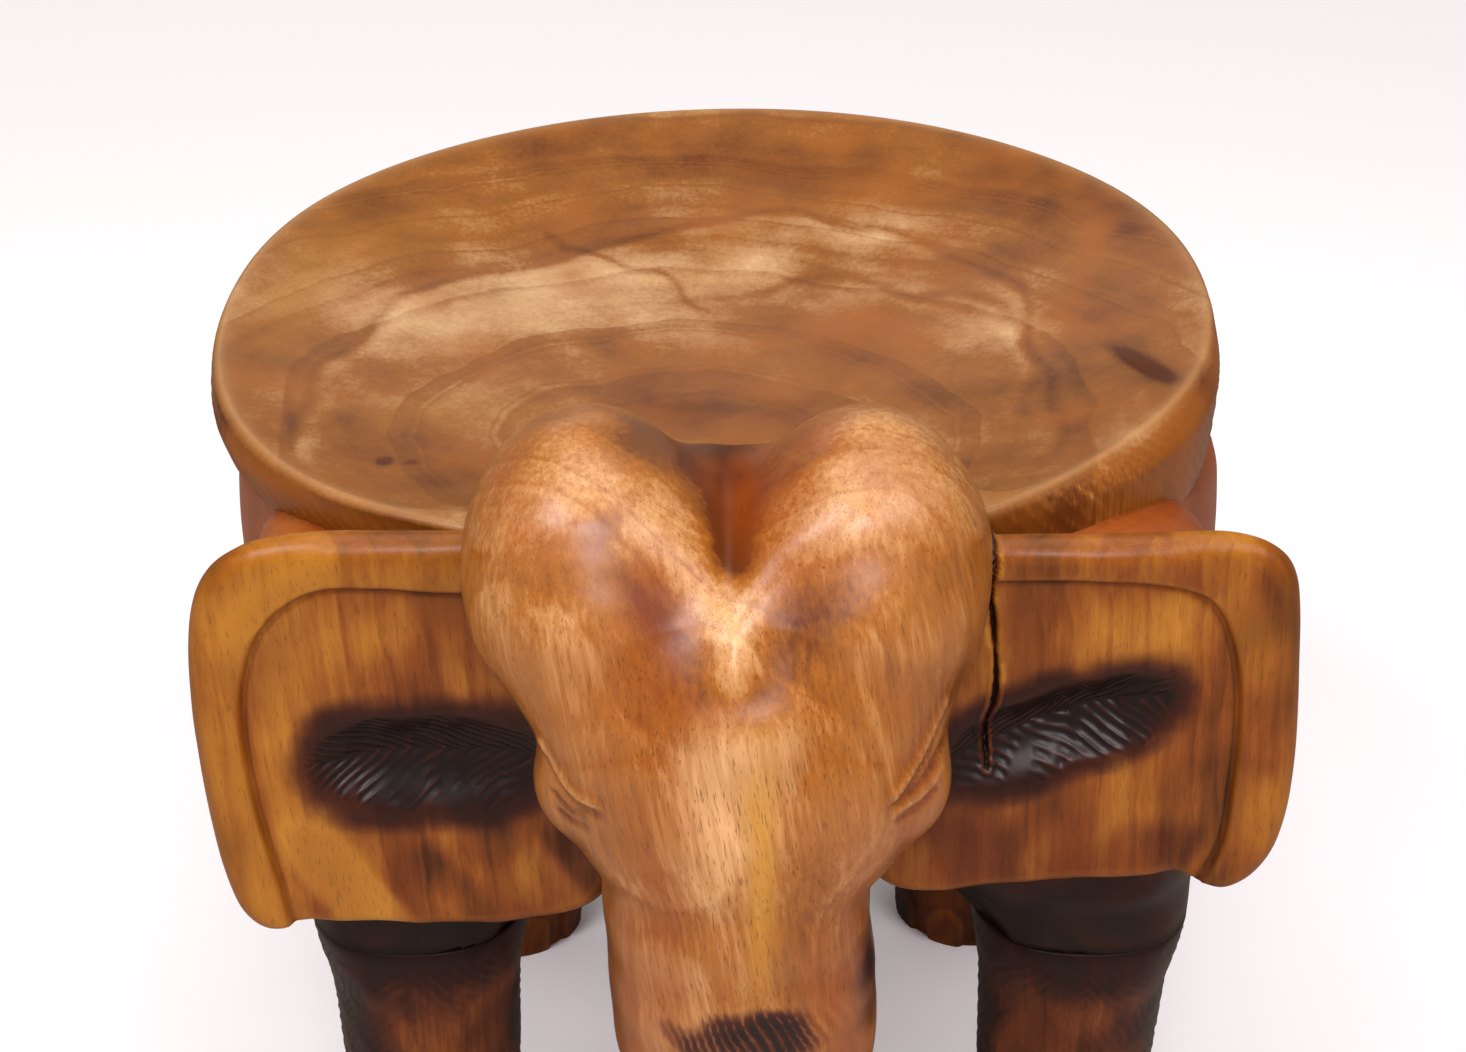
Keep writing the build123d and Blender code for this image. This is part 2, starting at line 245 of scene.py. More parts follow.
# %% [markdown]
# ## Camera
#
# The view looks down on the stool from the front, close enough for strong perspective. The camera stands
# where the ellipse of the seat's rim and the head's height both come out right.

# %% Camera
camera_back, camera_aside, camera_above = 660.5, -2.4, 322.8
pitch = math.radians(31.51)
focal_pixels = 2400.0
frame_width_pixels = 1466.0
sensor_width = 36.0

camera_data = bpy.data.cameras.new("front_view")
camera_data.sensor_width = sensor_width
camera_data.lens = focal_pixels / frame_width_pixels * sensor_width
camera = bpy.data.objects.new("front_view", camera_data)
camera.location = home + np.array([camera_aside, -camera_back, camera_above]) * MM
camera.rotation_euler = Matrix.Rotation(math.pi / 2 - pitch, 3, "X").to_euler()
bpy.context.scene.collection.objects.link(camera)
bpy.context.scene.camera = camera

# %% [markdown]
# ## Floor and light
#
# The stool stands on a plain pale floor. Three soft boxes stand in front and to both sides, well above it: they
# give the shoulders of the domes and the bump of the nose their broad, slightly pink shine. One overhead lights
# the dish and a weak one behind gives it a milky gloss. A picture of a room could light it too, but boxes are
# easy to move one at a time. The floor looks pale but mirrors in the varnish as brown, as if the rest of the
# room were wooden; a pale mirror image would grey the wood. Far from the lights the floor glows a little, so
# that it meets the sky without a dark band. The plain view keeps the wood's colours as they are mixed.

# %% Helpers for nodes
def add(tree, kind, wires=(), **settings):
    """One node. wires are (input, value or another node's output); settings are the node's own fields."""
    node = tree.nodes.new("ShaderNode" + kind)
    for field, value in settings.items():
        setattr(node, field, value)
    for socket, value in dict(wires).items():
        if isinstance(value, bpy.types.NodeSocket):
            tree.links.new(value, node.inputs[socket])
        else:
            node.inputs[socket].default_value = value
    return node


def maths(tree, operation, a, b=0.0, c=0.0, clamp=False):
    """One Math node and its output."""
    return add(tree, "Math", {0: a, 1: b, 2: c}, operation=operation, use_clamp=clamp).outputs[0]


def blend(tree, share, a, b, mode="MIX"):
    """Colour a turned towards colour b by share."""
    mix = add(tree, "Mix", {0: share, 6: a, 7: b}, data_type="RGBA", blend_type=mode, clamp_factor=True)
    return mix.outputs[2]


# %% Floor
daylight = (1.0, 0.985, 0.97, 1)
floor_half = 6  # metres, so that its edge lies far behind the stool
pale_floor, mirrored_floor = (0.9, 0.9, 0.9, 1), (0.3, 0.24, 0.2, 1)
glow_start, glow_full, glow_most = 0.8, 4.0, 0.75  # metres from the stool, and the strength far away

floor_mesh = bpy.data.meshes.new("floor")
corners = [(-floor_half, -floor_half, 0), (floor_half, -floor_half, 0), (floor_half, floor_half, 0),
           (-floor_half, floor_half, 0)]
floor_mesh.from_pydata(corners, [], [(0, 1, 2, 3)])
floor = bpy.data.objects.new("floor", floor_mesh)
bpy.context.scene.collection.objects.link(floor)
floor_paint = bpy.data.materials.new("floor_paint")
floor_paint.use_nodes = True
floor_tree = floor_paint.node_tree
floor_shader = floor_tree.nodes["Principled BSDF"]
ray = add(floor_tree, "LightPath").outputs
floor_colour = blend(floor_tree, ray["Is Glossy Ray"], pale_floor, mirrored_floor)
floor_tree.links.new(floor_colour, floor_shader.inputs["Base Color"])
floor_shader.inputs["Roughness"].default_value = 0.9
floor_place = add(floor_tree, "TexCoord").outputs["Object"]
floor_reach = add(floor_tree, "VectorMath", {0: floor_place}, operation="LENGTH").outputs["Value"]
far_away = add(floor_tree, "MapRange", {"Value": floor_reach, "From Min": glow_start, "From Max": glow_full,
                                        "To Min": 0.0, "To Max": glow_most}, interpolation_type="SMOOTHSTEP")
floor_glow = maths(floor_tree, "MULTIPLY", far_away.outputs["Result"], ray["Is Camera Ray"])
floor_tree.links.new(floor_glow, floor_shader.inputs["Emission Strength"])
floor_shader.inputs["Emission Color"].default_value = daylight
floor_mesh.materials.append(floor_paint)

# %% Lights
sky_light, sky_seen = 0.24, 0.92  # the sky's strength as a light, and as the camera sees it

world = bpy.data.worlds.new("studio")
world.use_nodes = True
room = world.node_tree.nodes["Background"]
room.inputs["Color"].default_value = daylight
seen = add(world.node_tree, "LightPath").outputs["Is Camera Ray"]
strength = add(world.node_tree, "MapRange", {"Value": seen, "To Min": sky_light, "To Max": sky_seen})
world.node_tree.links.new(strength.outputs["Result"], room.inputs["Strength"])
bpy.context.scene.world = world
bpy.context.scene.view_settings.view_transform = "Standard"


def soft_box(name, place, size, power, colour=(1.0, 0.97, 0.93)):
    """A soft oblong light, turned to face the stool. Size and place, from home, are in metres, power in watts."""
    data = bpy.data.lights.new(name, "AREA")
    data.shape, data.size, data.size_y = "RECTANGLE", size[0], size[1]
    data.energy, data.color = power, colour
    box = bpy.data.objects.new(name, data)
    box.location = Vector(home) + Vector(place)
    box.rotation_euler = (Vector(home) - box.location).to_track_quat("-Z", "Y").to_euler()
    bpy.context.scene.collection.objects.link(box)


soft_box("overhead", (0.0, 0.3, 3.2), (2.8, 2.2), 52)
soft_box("front_window", (0.0, -1.62, 1.25), (0.75, 0.5), 21, (1.0, 0.90, 0.94))
soft_box("left_window", (-1.0, -0.95, 1.55), (0.8, 0.7), 23, (1.0, 0.91, 0.95))
soft_box("right_window", (1.05, -0.95, 1.5), (1.3, 1.1), 21, (1.0, 0.89, 0.96))
soft_box("back_window", (-0.45, 2.0, 1.15), (1.4, 0.6), 3)

# %% [markdown]
# ## Hand work
#
# Nothing that is carved by hand is quite even. A few long waves in random but fixed directions, added to a
# surface, give the slight dips and swells that a gouge and a rasp leave. A noise texture on a Displace
# modifier could do it too, but this way the same hills can also bend a row of tool marks.

# %% Hills
HILL_LIFT = 1.8  # the mean of many waves rarely comes near 1, so it is lifted


def hills(p, size, seed, waves=9):
    """Smooth hills about size millimetres apart, mostly between -1 and 1: the lifted mean of sine waves that run
    in random directions with random phases, all fixed by the seed."""
    random = np.random.default_rng(seed)
    total = np.zeros(p.shape[:-1])
    for _ in range(waves):
        way = random.normal(size=3)
        way /= np.linalg.norm(way)
        length = size * random.uniform(0.7, 1.5)
        total += np.sin(p @ way * 2 * math.pi / length + random.uniform(0, 2 * math.pi))
    return total / waves * HILL_LIFT


def dabs(u, v, places):
    """The sum of soft oval dabs in a plane. Each is (u, v, half length, half width, degrees turned, amount)."""
    total = np.zeros(u.shape)
    for u0, v0, length, width, turned, amount in places:
        c, s = math.cos(math.radians(turned)), math.sin(math.radians(turned))
        along, across = (u - u0) * c + (v - v0) * s, (v - v0) * c - (u - u0) * s
        total += amount * np.exp(-((along / length) ** 2) - (across / width) ** 2)
    return total


def patches(p, size, seed, low, high):
    """Soft patches: 0 where the hills are below low, 1 where they are above high."""
    return ease(hills(p, size, seed), low, high)


def gouge_marks(across, pitch):
    """A row of gouge cuts side by side: 0 on the sharp ridges between the cuts and 1 in the middle of each."""
    return np.abs(np.sin(math.pi * across / pitch)) ** 0.8


# %% Lines on a surface
def smooth_line(places, closed=False, per_piece=12):
    """Points along a Catmull-Rom curve through the places."""
    places = np.array(places, float)
    if closed:
        chain = np.vstack([places[-1], places, places[:2]])
    else:
        chain = np.vstack([2 * places[0] - places[1], places, 2 * places[-1] - places[-2]])
    a, b, c, d = (chain[i:len(chain) - 3 + i, None] for i in range(4))
    t = (np.arange(per_piece) / per_piece)[None, :, None]
    curve = (b + t * (c - a) / 2 + t**2 * (a - 2.5 * b + 2 * c - d / 2)
             + t**3 * (1.5 * b - 1.5 * c + (d - a) / 2)).reshape(-1, places.shape[1])
    return curve if closed else np.vstack([curve, places[-1]])


def beside(u, v, line):
    """Signed distance in a plane from a line of points: positive on the right of its direction."""
    best = np.full(u.shape, 1e9)
    signed = np.full(u.shape, 1e9)
    for (u0, v0), (u1, v1) in zip(line[:-1], line[1:]):
        du, dv = u1 - u0, v1 - v0
        share = np.clip(((u - u0) * du + (v - v0) * dv) / (du * du + dv * dv), 0.0, 1.0)
        gap = np.hypot(u - u0 - share * du, v - v0 - share * dv)
        side = np.where(du * (v - v0) - dv * (u - u0) > 0, -1.0, 1.0)
        closer = gap < best
        best = np.where(closer, gap, best)
        signed = np.where(closer, side * gap, signed)
    return signed


# %% [markdown]
# ## Wood
#
# The stool is one warm, golden brown wood under a satin varnish. Three things make it read as wood: growth
# rings round an upright heart, fibres that run along the trunk, and slow changes from golden to red brown. All
# three are worked out in space, so they run through the solid: the seat's top shows arcs and the sides show
# streaks. They are groups, so that head, ears, seat, body and legs share them, each with its own values.

# %% More helpers for nodes
def new_group(name, inputs, outputs):
    """A node group with named sockets: inputs are (label, type, value), outputs are (label, type)."""
    tree = bpy.data.node_groups.new(name, "ShaderNodeTree")
    for label, kind, value in inputs:
        socket = tree.interface.new_socket(label, in_out="INPUT", socket_type="NodeSocket" + kind)
        if value is not None:
            socket.default_value = value
    for label, kind in outputs:
        tree.interface.new_socket(label, in_out="OUTPUT", socket_type="NodeSocket" + kind)
    return tree, tree.nodes.new("NodeGroupInput").outputs, tree.nodes.new("NodeGroupOutput").inputs


def vector_maths(tree, operation, a, b=(0, 0, 0)):
    """One Vector Math node and its output."""
    return add(tree, "VectorMath", {0: a, 1: b}, operation=operation).outputs[0]


def rescale(tree, value, start, gain, base=0.0, clamp=False):
    """The base plus gain times how far a value lies above start."""
    return maths(tree, "MULTIPLY_ADD", maths(tree, "SUBTRACT", value, start), gain, base, clamp)


def noise(tree, place, scale, detail, roughness=0.5):
    """Noise between 0 and 1 over a place, with scale lumps to the unit."""
    wires = {"Vector": place, "Scale": scale, "Detail": detail, "Roughness": roughness}
    return add(tree, "TexNoise", wires).outputs["Fac"]


def srgb(red, green, blue):
    """A colour given as 0 to 255 on a screen, as linear light."""
    screen = np.array([red, green, blue]) / 255
    light = np.where(screen <= 0.04045, screen / 12.92, ((screen + 0.055) / 1.055) ** 2.4)
    return (*light.tolist(), 1.0)


# %% Group: growth rings
rings_group, into, out_of = new_group(
    "growth_rings",
    [("Place mm", "Vector", None), ("Ring width mm", "Float", 9.0), ("Wander mm", "Float", 10.0)],
    [("Ring", "Float"), ("Late wood", "Float")])
drift_lumps, straightness = 0.014, 0.04  # lumps of drift to the millimetre; how little a ring changes along z
runs_ahead = 3.0  # rings that uneven growth may gain or lose
calc, move = partial(maths, rings_group), partial(vector_maths, rings_group)
drift = add(rings_group, "TexNoise", {"Vector": into["Place mm"], "Scale": drift_lumps, "Detail": 3.0})
drift = move("SUBTRACT", drift.outputs["Color"], (0.5, 0.5, 0.5))
drift = add(rings_group, "VectorMath", {0: drift, "Scale": into["Wander mm"]}, operation="SCALE").outputs[0]
flat = move("MULTIPLY", move("ADD", into["Place mm"], drift), (1.0, 1.0, straightness))
from_heart = add(rings_group, "VectorMath", {0: flat}, operation="LENGTH").outputs["Value"]
uneven = add(rings_group, "TexNoise", {"W": calc("MULTIPLY", from_heart, 0.05), "Scale": 1.0, "Detail": 3.0},
             noise_dimensions="1D").outputs["Fac"]
turns = calc("MULTIPLY_ADD", uneven, runs_ahead, calc("DIVIDE", from_heart, into["Ring width mm"]))
year = calc("FRACT", turns)  # 0 where a ring begins, 1 where it ends
fall = calc("MULTIPLY", calc("SUBTRACT", 1.0, year), 9.0, clamp=True)
rings_group.links.new(calc("MULTIPLY", calc("POWER", year, 2.2), fall), out_of["Ring"])
rings_group.links.new(calc("MULTIPLY", calc("POWER", year, 9.0), fall), out_of["Late wood"])

# %% Group: fibres and pores
fibre_group, into, out_of = new_group(
    "fibres_and_pores",
    [("Place mm", "Vector", None), ("Streak mm", "Float", 1.6), ("Length mm", "Float", 40.0)],
    [("Fibre", "Float"), ("Pore", "Float")])
thin = maths(fibre_group, "DIVIDE", 1.0, into["Streak mm"])
long = maths(fibre_group, "DIVIDE", 1.0, into["Length mm"])
stretch = add(fibre_group, "CombineXYZ", {"X": thin, "Y": thin, "Z": long}).outputs[0]
streaked = vector_maths(fibre_group, "MULTIPLY", into["Place mm"], stretch)
dashed = vector_maths(fibre_group, "MULTIPLY", into["Place mm"], (2.4, 2.4, 0.22))
fibre_group.links.new(noise(fibre_group, streaked, 1.0, 4.0, 0.6), out_of["Fibre"])
fibre_group.links.new(rescale(fibre_group, noise(fibre_group, dashed, 1.0, 1.0), 0.6, 9.0, clamp=True), out_of["Pore"])

# %% Group: scorching
scorch_group, into, out_of = new_group(
    "scorching",
    [("Place mm", "Vector", None), ("Depth", "Float", 0.0), ("Wood", "Color", None), ("Char", "Color", None),
     ("Singe", "Color", None)],
    [("Color", "Color"), ("Char mask", "Float")])
calc = partial(maths, scorch_group)
patchy = noise(scorch_group, into["Place mm"], 0.09, 4.0)
burn = rescale(scorch_group, patchy, 0.5, 0.5, into["Depth"])
burn = calc("MULTIPLY", burn, calc("MULTIPLY", into["Depth"], 6.0, clamp=True))  # none where the mark is 0
singed = calc("MULTIPLY", burn, 1.8, clamp=True)
charred = rescale(scorch_group, burn, 0.15, 1.35, clamp=True)
browned = blend(scorch_group, singed, into["Wood"], into["Singe"], "MULTIPLY")
scorch_group.links.new(blend(scorch_group, charred, browned, into["Char"]), out_of["Color"])
scorch_group.links.new(charred, out_of["Char mask"])

# %% [markdown]
# Each piece of wood gets its own material from those groups: its heart is somewhere else, its fibres lean
# another way and its colours differ, as boards from one log do. The varnish is the shader's coat. It is satin:
# clear highlights with soft edges, a little rougher where the wood is scorched.

# %% Wood material
SATIN = 0.42  # roughness of the wood's own shine, which is weak, as the varnish fills it
WOOD_SHINE, VARNISH_IOR = 0.12, 1.45
DARKEST, LIGHTEST = 0.12, 0.88  # tones that get the dark and the light colour in full
RELIEF, RELIEF_SHARE = 0.0006, 0.35  # metres of fibre relief in the bump, and how much of it shows
CHAR = srgb(26, 16, 12)


def wood(name, dark, middle, light, red, heart=(0, 0, 0), lean=(0, 0, 0), ring_width=9.0, wander=12.0,
         ring_share=0.25, fibre_share=0.6, figure_share=0.9, streak=1.6, length=40.0, pore_share=0.35,
         coat=0.30, coat_blur=0.28, dries=True, gold=(196, 140, 34), singe=(150, 90, 52)):
    """A wood with six colours: dark streaks, middle, light streaks, red patches, golden patches and the singe round its
    scorching. Its heart is in millimetres from home and lean tips the fibres, in degrees. Marks on the mesh steer it:
    one makes it lighter or darker, for the wood's figure and for painted highlights and painted shade; blush makes it
    redder or more golden; one scorches it, and in the head's cleft and high on the legs that darkness is painted shade;
    one lightens crests, as wear and as a painted highlight, and darkens valleys as painted shade; tooled roughens it
    along its fibres and, if it dries, dry leaves the varnish off."""
    material = bpy.data.materials.new(name)
    material.use_nodes = True
    tree = material.node_tree
    calc = partial(maths, tree)
    shader = tree.nodes["Principled BSDF"]
    dark, middle, light, red, gold, singe = (srgb(*c) for c in (dark, middle, light, red, gold, singe))
    figure, blush, scorch, crest, tooled = (add(tree, "Attribute", attribute_name=mark).outputs["Fac"]
                                            for mark in ("figure", "blush", "scorch", "crest", "tooled"))
    # the place in millimetres from the heart, with the fibres upright
    place = add(tree, "TexCoord").outputs["Object"]
    centre = Vector(home) + Vector(heart) * MM
    moved = add(tree, "Mapping", {"Vector": place, "Location": tuple(-centre)}).outputs[0]
    turned = add(tree, "Mapping", {"Vector": moved, "Rotation": tuple(math.radians(a) for a in lean),
                                   "Scale": (1 / MM, 1 / MM, 1 / MM)}).outputs[0]
    rings = add(tree, "Group", {"Place mm": turned, "Ring width mm": ring_width, "Wander mm": wander},
                node_tree=rings_group).outputs
    fibres = add(tree, "Group", {"Place mm": turned, "Streak mm": streak, "Length mm": length},
                 node_tree=fibre_group).outputs
    slow = noise(tree, vector_maths(tree, "MULTIPLY", turned, (1, 1, 0.45)), 0.022, 4.0, 0.55)
    # from dark to light: slow changes, fibres, rings and the figure on the mesh
    tone = rescale(tree, slow, 0.5, figure_share * 1.6, 0.5)
    streaky = calc("MULTIPLY_ADD", tooled, 1.3, fibre_share)
    tone = rescale(tree, fibres["Fibre"], 0.5, streaky, tone)
    tone = calc("MULTIPLY_ADD", rings["Ring"], -ring_share, tone)
    ramp = add(tree, "ValToRGB", {0: calc("ADD", tone, figure)})
    stops = ramp.color_ramp.elements
    stops[0].position, stops[0].color = DARKEST, dark
    stops[1].position, stops[1].color = LIGHTEST, light
    stops.new(0.5).color = middle
    # patches of red and gold, dark late wood and pores, crests lighter as wear and as a painted highlight, and valleys
    # darker as painted shade
    patch = add(tree, "TexNoise", {"Vector": vector_maths(tree, "MULTIPLY", turned, (1, 1, 0.35)), "Scale": 0.03,
                                   "Detail": 2.0, "W": 3.0}, noise_dimensions="4D").outputs["Fac"]
    reddish = rescale(tree, patch, 0.48, 3.4, blush, clamp=True)
    golden = calc("MULTIPLY", blush, calc("MULTIPLY_ADD", slow, -1.6, 0.1), clamp=True)
    colour = ramp.outputs[0]
    for cover, share, tint, mode in (
            (reddish, 0.7, red, "MIX"), (golden, 0.6, gold, "MIX"), (rings["Late wood"], ring_share * 1.3, dark, "MIX"),
            (fibres["Pore"], pore_share, dark, "MIX"), (crest, 0.30, light, "MIX"), (crest, -0.28, dark, "MULTIPLY")):
        colour = blend(tree, calc("MULTIPLY", cover, share, clamp=True), colour, tint, mode)
    # scorching, less of it on crests, where the wood is worn and a painted highlight lies
    bare = calc("MULTIPLY_ADD", calc("MULTIPLY", crest, 0.5, clamp=True), -1.0, 1.0)
    scorching = add(tree, "Group", {"Place mm": turned, "Depth": calc("MULTIPLY", scorch, bare),
                                    "Wood": colour, "Char": CHAR, "Singe": singe}, node_tree=scorch_group).outputs
    tree.links.new(scorching["Color"], shader.inputs["Base Color"])
    dull = rescale(tree, fibres["Fibre"], 0.5, 0.16, SATIN)
    dull = calc("MULTIPLY_ADD", scorching["Char mask"], 0.05, dull)
    tree.links.new(dull, shader.inputs["Roughness"])
    # relief of fibres and pores, and the varnish over it
    raised = calc("MULTIPLY_ADD", fibres["Fibre"], calc("ADD", 0.35, tooled), noise(tree, turned, 0.12, 3.0))
    raised = calc("MULTIPLY_ADD", fibres["Pore"], -0.12, raised)
    bump = add(tree, "Bump", {"Height": raised, "Strength": RELIEF_SHARE, "Distance": RELIEF})
    tree.links.new(bump.outputs[0], shader.inputs["Normal"])
    shader.inputs["Coat Weight"].default_value = coat
    if dries:
        dry = add(tree, "Attribute", attribute_name="dry").outputs["Fac"]
        tree.links.new(calc("MULTIPLY_ADD", dry, -coat, coat, clamp=True), shader.inputs["Coat Weight"])
    shader.inputs["Coat Roughness"].default_value = coat_blur
    shader.inputs["Coat IOR"].default_value = VARNISH_IOR
    shader.inputs["Specular IOR Level"].default_value = WOOD_SHINE
    return material


HEAD_WOOD = wood("head_wood", (88, 40, 6), (148, 86, 16), (202, 156, 100), (134, 58, 4), heart=(40, -40, 0),
                 lean=(4, 9, 0), ring_width=13, ring_share=0.12, pore_share=0.6, figure_share=0.7,
                 gold=(192, 140, 30), coat=0.8, coat_blur=0.3)
EAR_WOOD = wood("ear_wood", (64, 28, 2), (122, 62, 6), (166, 108, 26), (98, 38, 2), heart=(0, -60, 0),
                lean=(0, 3, 0), streak=2.4, length=50, ring_share=0.12, fibre_share=0.5, figure_share=1.3,
                gold=(150, 96, 14), singe=(150, 104, 56), dries=False)
SEAT_WOOD = wood("seat_wood", (76, 34, 6), (132, 80, 26), (192, 156, 108), (142, 80, 20), heart=(-15, -60, 0),
                 ring_width=34, wander=30, ring_share=0.14, figure_share=0.65, fibre_share=0.3, gold=(150, 98, 20))
BODY_WOOD = wood("body_wood", (70, 30, 6), (120, 62, 18), (164, 102, 46), (134, 56, 14), ring_share=0.12,
                 figure_share=1.1, streak=2.2, length=45)
LEG_WOOD = wood("leg_wood", (44, 16, 2), (96, 44, 4), (146, 84, 18), (84, 30, 2), heart=(10, 0, 0), streak=2.0,
                length=50, ring_share=0.15)
DOWEL_WOOD = wood("dowel_wood", (140, 96, 50), (170, 124, 70), (192, 150, 96), (160, 110, 60), dries=False)

# %% [markdown]
# ## Head and trunk
#
# On the stool the head is one block with the trunk. Its top is two domes with a deep cleft between them. The
# domes run down into the cheeks, the cheeks narrow past the closed eyes, and the trunk curls forward. Rays
# leave a spine that follows the trunk, so one grid covers the whole block: the rows fan over the crown,
# slide down the spine and fan again over the tip.

# %% The masses of the head
TRUNK_LINE = [(-1, -168, -70), (-1.5, -168, -92), (0, -168, -118), (1.2, -169, -138), (3, -173, -163),
              (3.5, -180, -187), (2.5, -194, -209), (1, -213, -223), (0, -228, -227)]
TRUNK_RADII = [33, 34, 34.8, 34.2, 30, 25.5, 21, 17, 12.5]


def fold(p, crease=2.0):
    """The same point folded over to the elephant's left side, with the crease of the fold rounded."""
    return vectors(np.sqrt(p[..., 0] ** 2 + crease**2), p[..., 1], p[..., 2])


def head_distance(p):
    """The masses of the head, joined from the domes down. Those on the folded point come in pairs."""
    lean = -4.0 * ease(p[..., 2], -48, -12)
    side = fold(vectors(p[..., 0] - lean, p[..., 1], p[..., 2]))
    return joined(
        egg(side, (35, -146, 2), (30.5, 36, 35.5)),  # dome
        (rod(side, (33, -152, 4), (3, -171, -14), 29, 15), 7),  # brow, down to the point of the V
        (rod(side, (0, -112, -16), (0, -134, 3), 16, 16), 13),  # floor of the cleft behind
        (rod(side, (0, -136, 4), (0, -176, -13.5), 13, 14), 15),  # and in front
        (rod(side, (28, -157, -14), (22, -169, -40), 34, 28), 14),  # cheek
        (egg(side, (0, -165, -36), (38, 32.5, 33)), 16),  # face between the cheeks
        (egg(p, (0, -167.5, -64), (42, 34.5, 34)), 18),  # muzzle
        (egg(fold(p), (42.5, -172, -52), (10.5, 12, 14)), 7),  # eyelid
        (egg(p, (0, -183.5, -24.5), (17, 15.5, 15.5)), 9),  # bump of the nose
        *rods(p, TRUNK_LINE, TRUNK_RADII, 6),
        (rod(side, (20, -134, -52), (14, -138, -82), 30, 22), 6))  # neck


# %% The spine that its rays leave from
SPINE = np.array([(-157, -8), (-159, -30), (-163, -55), (-166, -80), (-168, -105), (-169, -130), (-172, -155),
                  (-179, -181), (-193, -205), (-212, -221), (-228, -227)], float)


def follow(places, count, first_way):
    """Evenly spaced points on a smooth curve through the places, by cubic Hermite pieces, and its directions."""
    knots = np.concatenate([[0], np.cumsum(lengths(np.diff(places, axis=0)))])
    slopes = np.gradient(places, knots, axis=0)
    slopes[0] = first_way
    s = np.linspace(0, knots[-1], count)
    i = np.clip(np.searchsorted(knots, s, side="right") - 1, 0, len(knots) - 2)
    step = (knots[i + 1] - knots[i])[:, None]
    t = (s - knots[i])[:, None] / step
    at = places[i] * (2 * t**3 - 3 * t**2 + 1) + places[i + 1] * (3 * t**2 - 2 * t**3)
    at += step * slopes[i] * (t**3 - 2 * t**2 + t) + step * slopes[i + 1] * (t**3 - t**2)
    way = np.gradient(at, s, axis=0)
    return at, way / lengths(way, keepdims=True)


def head_rays(crown_rows, spine_rows, tip_rows, columns):
    """Origins and directions. Lift runs from -90 to 0 degrees over the crown, stays 0 along the spine and
    runs to 90 degrees over the tip; columns crowd towards the face."""
    at, way = follow(SPINE, spine_rows, (0, -1))
    at, way = (np.vstack([np.repeat(rows[:1], crown_rows, 0), rows, np.repeat(rows[-1:], tip_rows, 0)])
               for rows in (at, way))
    crown = np.linspace(-math.pi / 2, 0, crown_rows, endpoint=False)
    tip = np.linspace(0, math.pi / 2, tip_rows + 1)[1:]
    lift = np.concatenate([crown, np.zeros(spine_rows), tip])[:, None, None]
    turn = round_turn(columns)
    turn = turn + 0.45 * np.sin(turn)
    origin = vectors(0, *at.T)[:, None]
    down = vectors(0, *way.T)[:, None]
    across = np.array([1.0, 0.0, 0.0])
    ring = np.sin(turn)[None, :, None] * across + np.cos(turn)[None, :, None] * np.cross(down, across)
    return origin, np.cos(lift) * ring + np.sin(lift) * down


# %% [markdown]
# The carver opened the face with small cuts after the masses were right: hollows under the brow, a groove over the
# nose, folds round the closed eyes and a hatched, scorched patch on the trunk. Each is a few tenths of a millimetre to
# two millimetres deep, so it only pushes the skin in or out along its normal. The depth of the scorching is kept as a
# value on each vertex, for the wood to read; the painted shade of the cleft goes into the same value. Painted
# highlights and painted shade on the domes, brows, eyes and nose are kept as values too, beside the wood's own tone.

# %% Cuts on the face
EYE_FOLDS = [  # x and z along the fold, as seen from the front, and how far it stands out or sinks
    ([(-50, -33), (-46, -39), (-41.5, -42.5), (-36, -43)], 0.9),
    ([(-49, -37), (-45, -43), (-40.5, -46.5), (-36, -46)], -1.0),
    ([(-47, -47), (-43.5, -50), (-40, -49.5)], -0.7),
    ([(-46, -52), (-42.5, -54), (-39.5, -53)], -0.6),
    ([(50, -23), (47, -29), (43, -36), (37, -42)], 1.0),
    ([(50.5, -28), (47, -34), (43, -39.5), (37.5, -44.5)], -1.0),
    ([(50, -38), (45, -42), (40, -44)], -0.8),
    ([(49.5, -43), (45, -46), (39, -46.5)], 0.6),
    ([(48, -47), (44, -49.5), (39, -50)], -0.7),
]
V_RIDGE = [  # x and z along the sharp lower edge of each dome, from the outside in to the point of the V
    [(-58, 17), (-49, 23), (-39, 25), (-31, 24), (-23, 20), (-15, 12), (-8, 4), (-2, -6)],
    [(55, 16), (45, 24), (33, 26), (21, 21), (11, 14), (4, 5), (-2, -6)],
]
# dabs of lighter and darker colour, the first set seen from above and the second from the front. Some are the wood's
# own tone. The rest are painted light: painted highlights on the top and shoulders of the domes, at the point of the V
# and on the bump of the nose; the elephant's right cheek paler, as the side the light falls on; and painted shade by
# the cleft, under both brows and in the crease above the nose.
CROWN_FIGURE_AND_LIGHT = [(-25, -150, 12, 7, 60, -0.32), (14, -158, 6, 4, 20, -0.15), (34, -150, 16, 12, 0, 0.16),
                (-44, -152, 12, 14, 0, 0.06)]
FACE_FIGURE_AND_LIGHT = [(-33, 25, 6, 3, 10, -0.35), (-21, 9, 10, 4, -40, -0.2), (-2, -2, 6, 7, 0, 0.10),
               (-40, 34, 22, 16, 0, 0.08), (38, 34, 22, 16, 0, 0.16), (28, -92, 10, 30, 0, 0.14),
               (-34, 2, 14, 18, 0, 0.16), (-36, -32, 10, 16, 0, 0.16), (2, -12, 14, 5, 0, -0.12),
               (0, -42, 18, 14, 0, 0.14), (26, -12, 14, 30, 0, -0.10), (0, -90, 40, 22, 0, -0.12),
               (-16, -20, 6, 14, 0, -0.08), (18, 2, 12, 5, 40, -0.10), (2, -21, 15, 11, 0, 0.26)]


